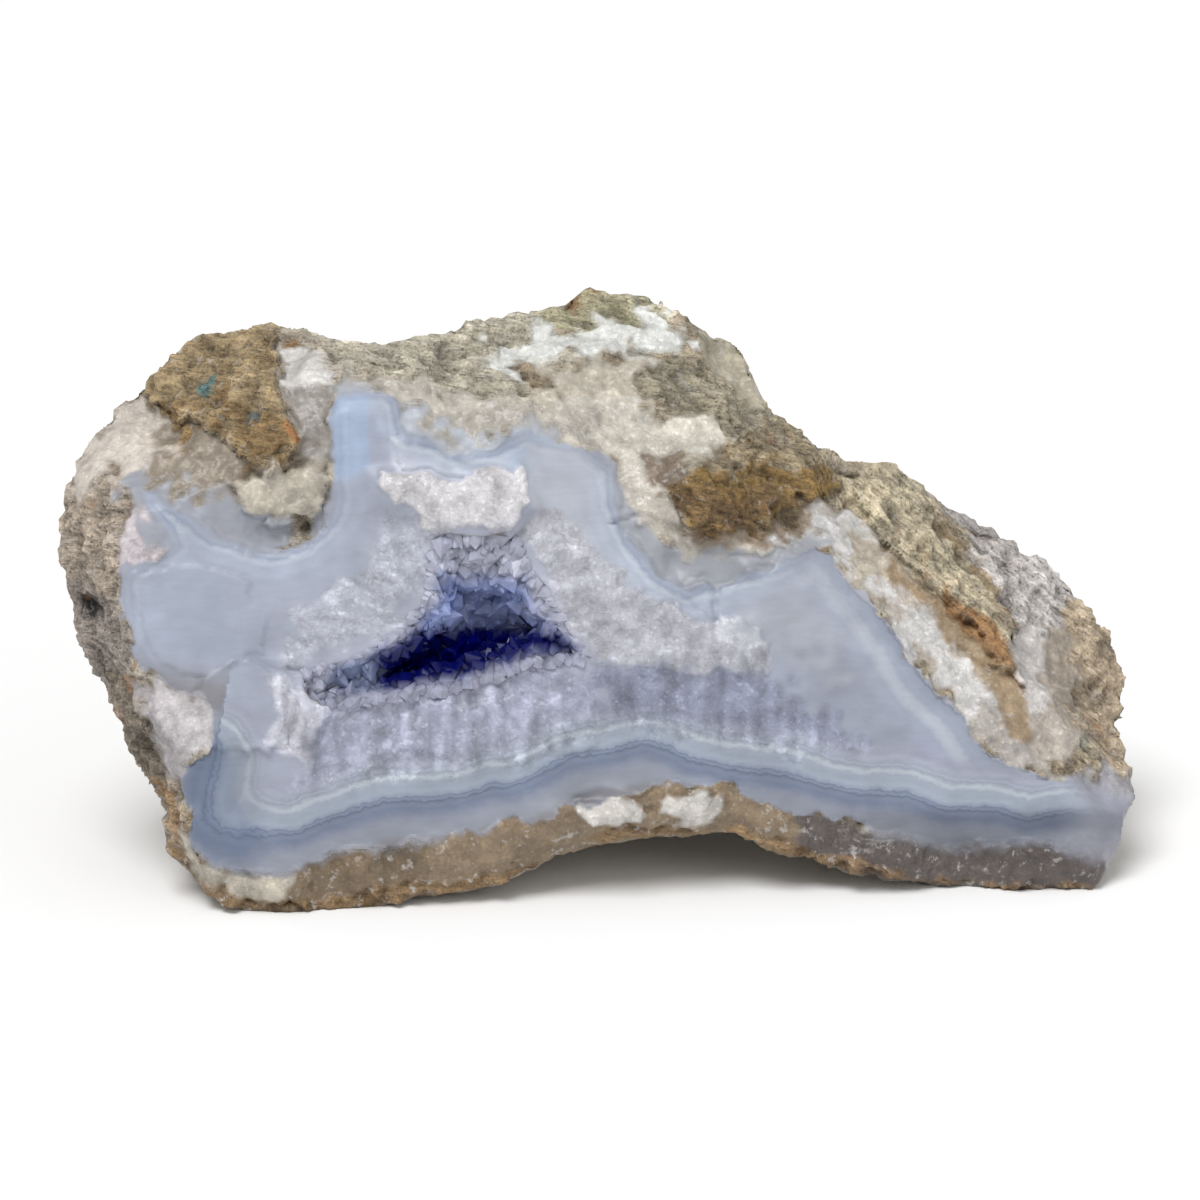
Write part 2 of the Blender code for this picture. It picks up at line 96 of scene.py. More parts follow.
def nearestOf(points, starts, ends):
    # distance to a chain of straight runs, and on which side of the nearest run each point lies
    best = np.full(len(points), np.inf)
    side = np.zeros(len(points))
    for start, end in zip(starts, ends):
        along = end - start
        share = ((points - start) @ along / (along @ along)).clip(0, 1)
        offset = points - (start + share[:, None] * along)
        distance = np.hypot(offset[:, 0], offset[:, 1])
        closer = distance < best
        best = np.where(closer, distance, best)
        turn = along[0] * (points[:, 1] - start[1]) - along[1] * (points[:, 0] - start[0])
        side = np.where(closer, turn, side)
    return best, side


def insideBy(points, outline):
    # distance inside a closed outline, negative outside it
    starts = np.array(outline, float)
    ends = np.roll(starts, -1, axis=0)
    best, _ = nearestOf(points, starts, ends)
    crossings = np.zeros(len(points), int)
    for start, end in zip(starts, ends):
        spans = (start[1] > points[:, 1]) != (end[1] > points[:, 1])
        climb = end[1] - start[1]
        if climb:
            crossing = start[0] + (points[:, 1] - start[1]) / climb * (end[0] - start[0])
            crossings += spans & (points[:, 0] < crossing)
    return np.where(crossings % 2 == 1, best, -best)


def closeTo(points, outline, margin):
    # which points lie near an outline, so that only those are worked on
    corners = np.array(outline, float)
    low = corners.min(axis=0) - margin
    high = corners.max(axis=0) + margin
    return np.flatnonzero(((points > low) & (points < high)).all(axis=1))


def stepBy(points, outline, softness):
    # 1 inside an outline and 0 outside it, with a soft edge
    share = np.zeros(len(points))
    near = closeTo(points, outline, softness + 1)
    share[near] = rise(insideBy(points[near], outline) / softness + 0.5)
    return share


def aboveLine(points, line):
    # distance from an open line, positive on its left as it is drawn
    corners = np.array(line, float)
    best, side = nearestOf(points, corners[:-1], corners[1:])
    return np.where(side >= 0, best, -best)


def waves(points, size, start):
    away = Vector((start, start * 0.7, -start))
    return np.array([noise.noise(Vector(point) / size + away) for point in points])


def cellHeights(points, size):
    # a blunt point in the middle of each cell
    near = [noise.voronoi(Vector(point) / size, distance_metric="DISTANCE")[0][0] for point in points]
    return (0.5 - np.array(near)) * 2


def objectOf(name, mesh):
    made = bpy.data.objects.new(name, mesh)
    bpy.context.scene.collection.objects.link(made)
    return made


def meshOf(name, bm):
    mesh = bpy.data.meshes.new(name)
    bm.to_mesh(mesh)
    bm.free()
    return mesh


def settle(made):
    # the mesh becomes what its modifiers make of it
    graph = bpy.context.evaluated_depsgraph_get()
    mesh = bpy.data.meshes.new_from_object(made.evaluated_get(graph))
    made.modifiers.clear()
    made.data = mesh


def mergedCopy(node):
    # a frame piece with its doubled corners joined
    bm = bmesh.new()
    bm.from_mesh(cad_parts[node].data)
    bmesh.ops.remove_doubles(bm, verts=bm.verts, dist=sameCorner)
    return bm


def readSurface(mesh):
    place = np.empty(len(mesh.vertices) * 3)
    facing = np.empty(len(mesh.vertices) * 3)
    mesh.vertices.foreach_get("co", place)
    mesh.vertices.foreach_get("normal", facing)
    return toLayout(place.reshape(-1, 3)), facing.reshape(-1, 3) @ tipArray


def weigh(made, name, weights):
    group = made.vertex_groups.new(name=name)
    for index, weight in enumerate(weights):
        group.add([index], float(weight), "REPLACE")


def keepValues(mesh, name, values):
    layer = mesh.attributes.new(name, "FLOAT", "POINT")
    layer.data.foreach_set("value", np.asarray(values, np.float32))


def keepColours(mesh, name, colours):
    layer = mesh.attributes.new(name, "FLOAT_COLOR", "POINT")
    filled = np.ones((len(colours), 4), np.float32)
    filled[:, :3] = colours
    layer.data.foreach_set("color", filled.reshape(-1))


def keepPlaces(mesh, name, places):
    layer = mesh.attributes.new(name, "FLOAT_VECTOR", "POINT")
    layer.data.foreach_set("vector", np.asarray(places, np.float32).reshape(-1))


class Shader:
    # lays nodes out one by one; add gives the node, the other calls what their node puts out
    def __init__(self, name):
        self.material = bpy.data.materials.new(name)
        self.material.use_nodes = True
        self.tree = self.material.node_tree
        self.main = self.tree.nodes["Principled BSDF"]

    def add(self, kind, links=None, **settings):
        node = self.tree.nodes.new(kind)
        for name, value in settings.items():
            setattr(node, name, value)
        for socket, value in (links or {}).items():
            self.feed(node.inputs[socket], value)
        return node

    def feed(self, socket, value):
        if isinstance(value, bpy.types.NodeSocket):
            self.tree.links.new(value, socket)
        else:
            socket.default_value = value

    def fix(self, values):
        # constants on the shader's own sockets
        for name, value in values.items():
            self.main.inputs[name].default_value = value

    def attribute(self, name, output="Fac"):
        return self.add("ShaderNodeAttribute", attribute_name=name).outputs[output]

    def objectPlace(self):
        return self.add("ShaderNodeTexCoord").outputs["Object"]

    def reckon(self, operation, first, second):
        return self.add("ShaderNodeMath", {0: first, 1: second}, operation=operation).outputs[0]

    def product(self, first, *others):
        for other in others:
            first = self.reckon("MULTIPLY", first, other)
        return first

    def vector(self, operation, first, second):
        return self.add("ShaderNodeVectorMath", {0: first, 1: second}, operation=operation).outputs

    def mix(self, share, first, second, blend="MIX"):
        links = {0: share, 6: first, 7: second}
        return self.add("ShaderNodeMix", links, data_type="RGBA", blend_type=blend).outputs[2]

    def mixValue(self, share, first, second):
        return self.add("ShaderNodeMix", {0: share, 2: first, 3: second}).outputs[0]

    def toned(self, colour, tone):
        gray = self.add("ShaderNodeCombineColor", {0: tone, 1: tone, 2: tone}).outputs[0]
        return self.mix(1.0, colour, gray, "MULTIPLY")

    def spread(self, value, low, high, newLow, newHigh):
        links = {0: value, 1: low, 2: high, 3: newLow, 4: newHigh}
        return self.add("ShaderNodeMapRange", links).outputs[0]

    def grain(self, place, scale, detail=2.0, rough=0.5):
        links = {"Vector": place, "Scale": scale, "Detail": detail, "Roughness": rough}
        return self.add("ShaderNodeTexNoise", links).outputs["Fac"]

    def tone(self, place, name):
        # one of the finish's grains, turned into what it does
        grain, change = stone["grains"][name]
        return self.spread(self.grain(place, *grain), *change)

    def cells(self, place, scale):
        return self.add("ShaderNodeTexVoronoi", {"Vector": place, "Scale": scale}, feature="F1").outputs

    def facets(self, place, scale):
        # flat faces, each leaning its own way: height over each cell's middle, and one value a cell
        cells = self.cells(place, scale)
        offset = self.vector("SUBTRACT", place, cells["Position"])[0]
        lean = self.vector("SUBTRACT", cells["Color"], (0.5, 0.5, 0.5))[0]
        height = self.vector("DOT_PRODUCT", offset, lean)["Value"]
        return height, self.add("ShaderNodeSeparateColor", {0: cells["Color"]}).outputs[0]

    def bands(self, value, stops):
        low = stops[0][0]
        high = stops[-1][0]
        ramp = self.add("ShaderNodeValToRGB", {0: self.spread(value, low, high, 0.0, 1.0)})
        points = ramp.color_ramp.elements
        while len(points) < len(stops):
            points.new(0.5)
        for point, (distance, _) in zip(points, stops):
            point.position = (distance - low) / (high - low)
        for point, (_, colour) in zip(points, stops):
            point.color = solid(colour)
        return ramp.outputs[0]


def countTriangles(mesh):
    mesh.calc_loop_triangles()
    return len(mesh.loop_triangles)


def handOver(made, node):
    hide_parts(node)
    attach(made, "root")
    print(made.name, "done:", countTriangles(made.data), "triangles")


stone = {
    "finish": "banded_stone",
    "gridStep": 0.5,  # size of the squares of the fine surface
    "softening": 8,  # rounds of smoothing all over
    "backSoftening": 40,  # rounds of smoothing on the back alone
    "smoothStep": 0.5,
    "mostTriangles": 192000,
    "backShare": 0.75,  # how much more of the back than of the face is thinned away
    "thinFactor": 0.2,  # how strongly the thinning keeps to that
    "raggedness": ((5.0, 1.1), (1.6, 0.5)),  # size and reach of the breaks in drawn outlines
    "raggedScale": 1.6,
    "noiseStart": 5,  # any other whole number breaks the outlines another way
    "footMargin": 0.3,  # what lies this low stands on the shelf
    # how far a surface looks away from the viewer, from -1 facing them to 1 facing away: from and to
    "facings": {
        "back": (-0.35, 0.15),
        "front": (-0.0909, -0.5455),
        "painted": (0.4667, -0.2),
        "face": (0.0, -0.625),
    },
    # noise: its size, and where in the endless noise it starts
    "noises": {
        "wide clouds": (16.0, 21.0),
        "clouds": (6.0, 14.0),
        "small clouds": (2.4, 17.0),
        "streaks": (1.5, 41.0),
        "slow wobble": (7.0, 5.5),
        "quick wobble": (2.2, 2.5),
        "rays": (1.0, 71.0),
        "fine rays": (1.0, 75.0),
    },
    # colours, and the light and dark over them
    "rock": (150, 138, 118),
    "paleRock": (176, 166, 150),
    "darkRock": (126, 110, 86),
    "greyRock": (140, 140, 128),
    "toneContrast": (2.5, 2.5, 3.0),  # of the pale, the dark and the grey rock
    "toneRaggedness": (0.8, 1.2),
    "greyOffset": -0.3,
    "greyShare": 0.7,
    "patchMottle": 0.6,
    "agateMottle": 0.5,
    "agate": (154, 159, 174),
    "rindLine": (138, 112, 80),
    "rindLineShare": 0.8,
    "lipCrystals": (190, 191, 206),
    "lipShare": 0.5,
    "mottledEdge": 0.8,  # how ragged the soft edge of a patch is
    "mostUneven": 3.0,
    "agateEdge": 0.5,
    "lowHaze": (14.0, 10.0, 2.4),  # the agate's edge is softer here: from, to, how much
    "rightHaze": (68.0, 74.0, 4.0),
    "upperLeftHaze": (16.8, 4.8, 2.4),
    "upperLeft": (-56, 60),
    "spotEdge": 0.6,
    "mottle": ((9.0, 0.1), (2.6, 0.12)),  # size and strength of the lighter and darker parts
    "mottleStart": 31.0,
    "mottleOnAgate": 0.35,
    "mottleOnQuartz": 0.6,
    "streakStretch": (1.0, 1.0, 0.16),
    "streakDepth": 0.44,
    "streaksUnder": (42.0, 38.0),
    "wideCloudDepth": 0.05,
    "cloudDepth": 0.07,
    "tipDarkness": 0.34,  # the agate darkens toward its low right tip
    "tipAcross": (34.0, 46.0),
    "tipUp": (16.5, 13.5),
    "rindLineWidth": (1.7, 0.5),
    "rindLineUp": (24.0, 21.0),
    "lipWidth": (2.5, 0.0),
    "lobeAcross": (-47.0, -53.0),
    "lobeUp": (27.0, 23.0),
    "lobeDarkness": 0.14,
    "leastLight": 0.3,
    "mostLight": 1.6,
    # relief
    "stepWidth": 0.45,
    "softStepWidth": 2.0,
    "ledgeShare": 0.8,  # of a ledge's depth, what the fine surface sharpens
    "sunkRind": 0.5,  # the rind lies this much behind the agate
    "sunkBeyond": (0.2, -1.0),
    "sunkUp": (20.0, 24.0),
    "rockGrain": ((7.0, 0.9), (3.2, 0.8), (1.5, 0.45)),  # size and height
    "rockGrainStart": 3.1,
    "creaseSharpness": 2.6,
    "grainOffRock": 0.25,
    "agateGrain": ((9.0, 0.16), (1.3, 0.03)),
    "agateGrainStart": 9.4,
    "leastFrost": 0.02,
    "frostPoints": ((2.4, 0.07), (1.1, 0.1)),
    "frostGrain": ((5.5, 0.35), (2.0, 0.12), (0.9, 0.08)),
    "frostGrainStart": 61.0,
    "paintedShadeTone": 0.3,  # painted light and shade: how much paler the ridges are painted than the hollows
    "mostPaintedShade": 0.45,
    "paintedShadeOnQuartz": 0.5,
    "rayCount": 16.0,  # streaks that run out from the hollow: how many, how short, how deep and dark
    "rayShortness": 0.1,
    "rayDepth": 0.22,
    "rayDarkness": 0.2,
    "fineRays": 2.3,
    "fineRayShare": 0.6,
    "raysWithin": (26.0, 18.0),
    "calmLip": (-0.5, 1.0),
    "slopeOfBeds": (-8.0, -42.0),  # degrees the rock's beds fall to the right, left part and right part
    "bedTurn": (32.0, 38.0),  # where across the one slope turns into the other
    "bedStretch": (0.3, 1.0, 1.7),
    # where the bands of the agate show, in distances from the line they follow
    "footWithin": (9.5, 5.5),
    "footUnder": (33.0, 27.0),
    "footTilt": 0.1,
    "footOnLobe": 0.25,
    "footAtTip": 0.8,
    "footTip": (68.0, 75.0),
    "lobeWidening": 0.38,
    "slopeAcross": (27.0, 32.0),
    "slopeWithin": (9.0, 5.0),
    "slopeAboveFoot": (5.0, 8.0),
    "slopeStart": 0.6,
    "slopeFull": (38.0, 44.0),
    "rimWithin": (7.5, 2.5),
    "rimElsewhere": 0.3,
    "rimInScallops": 0.6,
    "scallopFade": (1.6, 0.6),
    "scallops": (((-50, 58), 9.0), ((-22, 74), 9.0), ((14, 58), 13.0), ((-64, 62), 5.0)),
    "lineWobble": 0.6,
    "slowWobble": 0.7,
    "quickWobble": 0.22,
    # grains: how many to a metre, layers and roughness; then the part of the grain that is used
    # and what it is turned into
    "grains": {
        "band wobble": ((900.0, 3.0, 0.5), (0.3, 0.7, -0.22, 0.22)),
        "strata": ((700.0, 6.0, 0.72), (0.32, 0.68, 0.58, 1.8)),
        "rock grains": ((2200.0, 3.0, 0.7), (0.32, 0.68, 0.68, 1.32)),
        "cracks": ((190.0, 5.0, 0.6), (0.0, 0.012, 0.5, 1.0)),
        "dents": ((250.0, 5.0, 0.75), (0.6, 0.68, 1.0, 0.5)),
        "milky quartz": ((420.0, 5.0, 0.72), (0.3, 0.7, 0.84, 1.16)),
        "agate clouds": ((160.0, 5.0, 0.6), (0.3, 0.7, 0.96, 1.05)),
        "scratches": ((1300.0, 4.0, 0.7), (0.3, 0.7, 0.95, 1.05)),
        "flecks": ((520.0, 4.0, 0.7), (0.58, 0.66, 0.0, 0.45)),
        "rust": ((150.0, 3.0, 0.6), (0.62, 0.72, 0.0, 0.55)),
    },
    "scratchStretch": (0.2, 1.0, 1.0),
    "pitsToMetre": 1100.0,
    "pitTone": (0.08, 0.3, 0.45, 1.0),
    # facets of the frost: how many to a metre, their height and how much their tones differ
    "facets": ((850.0, 500.0, 0.08), (330.0, 350.0, 0.07), (2100.0, 520.0, 0.07)),
    "glints": (0.93, 0.95, 0.0, 0.14),
    "fleckColour": (205, 203, 200),
    "flecksOnRock": 0.7,
    "rustColour": (150, 104, 62),
    "agateRoughness": 0.42,
    "quartzRoughness": 0.36,
    "rockRoughness": 0.78,
    "grainHeight": (0.06, 0.5),  # on agate and on rock
    "strataHeight": 1.3,
    "crackHeight": 0.5,
    "bumpStrength": 0.8,
    "bumpHeight": 0.6,
}

# Where the banded agate begins inside the rind
agateOutline = [
    (-71, 47), (-71, 50.5), (-64, 55), (-69, 63.5), (-61, 59.5), (-57.5, 56.5), (-53, 55),
    (-48.5, 54), (-44, 55), (-40.5, 59), (-39.5, 62.5), (-40, 75.5), (-38.5, 78), (-30.5, 78),
    (-29, 72), (-23.5, 70), (-20.5, 69), (-16, 70), (-11.5, 72), (-4, 70), (2, 66.5), (2, 61),
    (4.5, 56), (9, 50.5), (13.5, 48.5), (17.5, 49), (23.5, 51), (29, 53), (32.5, 54.5),
    (35, 53.5), (38, 49), (41.5, 45.5), (44.5, 41.5), (50, 33.5), (54.5, 29), (59, 23),
    (64, 20.5), (68, 19.5), (75, 18), (81, 16), (80, 9.5), (62, 9.5), (50, 10), (43, 12),
    (39, 13), (31, 14), (25.5, 16), (20.5, 19), (13.5, 19.5), (6, 19), (-3, 16.5),
    (-8.5, 14.5), (-15.5, 13), (-24, 11), (-29, 11), (-35, 9.5), (-41, 8), (-47, 6), (-52, 5),
    (-56.5, 7), (-61, 10.5), (-62.5, 16), (-62, 21.5), (-57.5, 24.5), (-57.5, 27), (-59, 32.5),
    (-64, 34), (-68, 36.5), (-70.5, 39.5),
]

# Outline of the whole stone, clockwise from its left tip
stoneOutline = [
    (-81.6, 55), (-80, 67), (-82, 77), (-80, 88), (-68, 89), (-57.5, 87.4), (-49.5, 88.8),
    (-42, 85.8), (-30, 86.3), (-17, 90.5), (-8, 90.5), (-0.5, 96), (10.5, 91.5), (22.5, 86.5),
    (24, 78), (34, 69.5), (45.8, 67), (55, 60.8), (64, 56), (76.5, 57), (83, 50.5), (82, 38),
    (86.5, 25), (87, 14), (87, 1), (82, 1.5), (70, 2.5), (57.5, 2.5), (44.5, 4), (35.5, 7),
    (27, 9), (21, 11.5), (12, 11), (6, 11.6), (0, 10), (-6.5, 6.6), (-15.5, 4.4), (-27.2, 3),
    (-39, 1), (-51.3, 0.4), (-57.8, 1), (-61.2, 3), (-65, 9), (-65.3, 15.6), (-70, 22),
    (-73.3, 30.8), (-78.8, 40), (-81, 51.5),
]

# Lip of the hollow, clockwise from its left end
lipOutline = [
    (-43.5, 36), (-36, 38), (-32.5, 40), (-30.5, 41), (-29.5, 43), (-26.5, 45.5), (-25.5, 47),
    (-25, 52.5), (-23.5, 57), (-17.5, 56), (-12.5, 57.5), (-12.5, 53), (-10.5, 51), (-7.5, 48),
    (-5, 42), (-2.5, 39.5), (-3, 37.5), (-7, 38), (-11, 37.3), (-14, 36.3), (-17.5, 35),
    (-22.5, 33.6), (-28, 33), (-34, 32), (-39, 31.2), (-42.5, 31), (-44.5, 33.5),
]

# The thin dark line that runs along the foot of the agate, from the left lobe to the right tip
darkLine = [
    (-57.5, 25), (-59, 18), (-59, 14), (-57, 11.8), (-51, 11.2), (-45.3, 11.8), (-42.3, 13.3),
    (-37.8, 14.6), (-32.5, 16.4), (-26, 16.6), (-21, 17), (-16.3, 18.6), (-13.3, 18.6),
    (-7, 21.5), (-4, 23), (2, 23.9), (6.6, 24.9), (10.3, 24.2), (13.3, 22.7), (18.7, 21.3),
    (28, 20.3), (33.5, 18.6), (38.8, 17.4), (46.8, 17.1), (52.6, 14.7), (60.7, 14.7),
    (64.8, 13.3), (71, 14.2), (83, 13.4),
]

# Forms of the face that the fine surface sharpens: outline (across, up) and depth
ledges = {
    "slab": (-3.4, [
        (-75, 78), (-71, 80), (-66.5, 76.5), (-64.5, 74.5), (-58, 72), (-55, 69.5), (-52.5, 68),
        (-49.5, 65.5), (-46.5, 68.5), (-45, 72.5), (-47.5, 77), (-49.5, 84.5), (-50, 92), (-72, 90),
    ]),
    "rock lump": (-2.4, [
        (11, 63.5), (12.5, 66.5), (15, 68.5), (21, 70.5), (28.5, 71), (35, 69), (37.5, 66.5),
        (36, 63.5), (30, 62), (25.5, 59), (20, 57.5), (15, 57.5), (12, 59.5),
    ]),
    "rock plate": (-3.0, [
        (38, 66.5), (42, 70), (53, 63), (61.5, 56), (62.5, 47), (64, 41), (64.5, 33.5),
        (62.5, 35), (58.5, 41), (54, 45.5), (50, 50.5), (45, 55), (41, 59),
    ]),
    "right shelf": (-0.6, [
        (-4, 39.5), (0, 38), (6, 37), (13.5, 36), (24, 36), (25, 41), (22, 44), (18, 42.5),
        (15, 46), (6, 48.5), (0, 53), (-6, 56), (-9, 53), (-7, 47), (-5, 42),
    ]),
    "left step": (-1.2, [
        (-62, 22), (-58, 24.5), (-52.5, 25), (-46.5, 25), (-45, 32), (-46.5, 36.5), (-54, 38),
        (-60, 33.5), (-64, 27.5),
    ]),
    "broken patch": (-1.5, [
        (-46.5, 36.5), (-42.5, 36), (-40.5, 32), (-41.5, 26), (-45, 24), (-47, 29),
    ]),
    "cream lumps": (-2.6, [
        (-55, 63.5), (-52, 65.5), (-45, 67.5), (-41, 66.5), (-40.5, 62), (-43, 59), (-48, 58),
        (-53, 60),
    ]),
    "left quartz in the lower rind": (-1.6, [
        (-4, 17), (0, 18), (6, 17), (7.5, 15), (4.5, 12.5), (-1.5, 13),
    ]),
    "right quartz in the lower rind": (-1.4, [
        (9, 17), (13.5, 18.5), (18, 17), (17.5, 14), (12, 13), (9.5, 14.5),
    ]),
    "grey scallop": (1.3, [
        (2, 59), (7.5, 59.5), (15, 54.5), (21, 53), (30, 55), (23.5, 51), (17.5, 49),
        (13.5, 48.5), (9, 50.5), (4.5, 56),
    ]),
}

# Small steps too fine for the frame: outline and depth
smallLedges = {
    "wedge": (-0.6, [(-31.5, 71.5), (-27, 70.5), (-21, 68.5), (-16, 67), (-18, 66), (-30, 66)]),
    "edge right of the middle": (-0.5, [
        (-9, 32), (-1.5, 32), (-0.5, 24.5), (-9, 23.5), (-20, 23), (-30, 24), (-30, 31),
    ]),
    "frosted ledge": (-0.7, [
        (-33.6, 66), (-30.7, 65.8), (-26.8, 65), (-23, 64.8), (-17.7, 66.6), (-13.3, 66.8),
        (-11.6, 67.7), (-10.6, 63.9), (-9.3, 61.5), (-11.4, 59.5), (-13.3, 57.6), (-17.2, 57.3),
        (-21, 56.9), (-24, 56.3), (-26.4, 58), (-27.8, 60), (-30.7, 61.5), (-32.7, 63.4),
    ]),
    "chip": (0.7, [(17, 49), (18.5, 48.5), (18.3, 42.5), (17.6, 43)]),
    "low right step": (-0.4, [(12, 35), (22, 34), (30, 29), (28, 26), (18, 28), (12, 30)]),
    "left plate": (-0.5, [(-70, 50), (-62, 53), (-52, 50), (-50, 40), (-58, 35), (-66, 37)]),
}

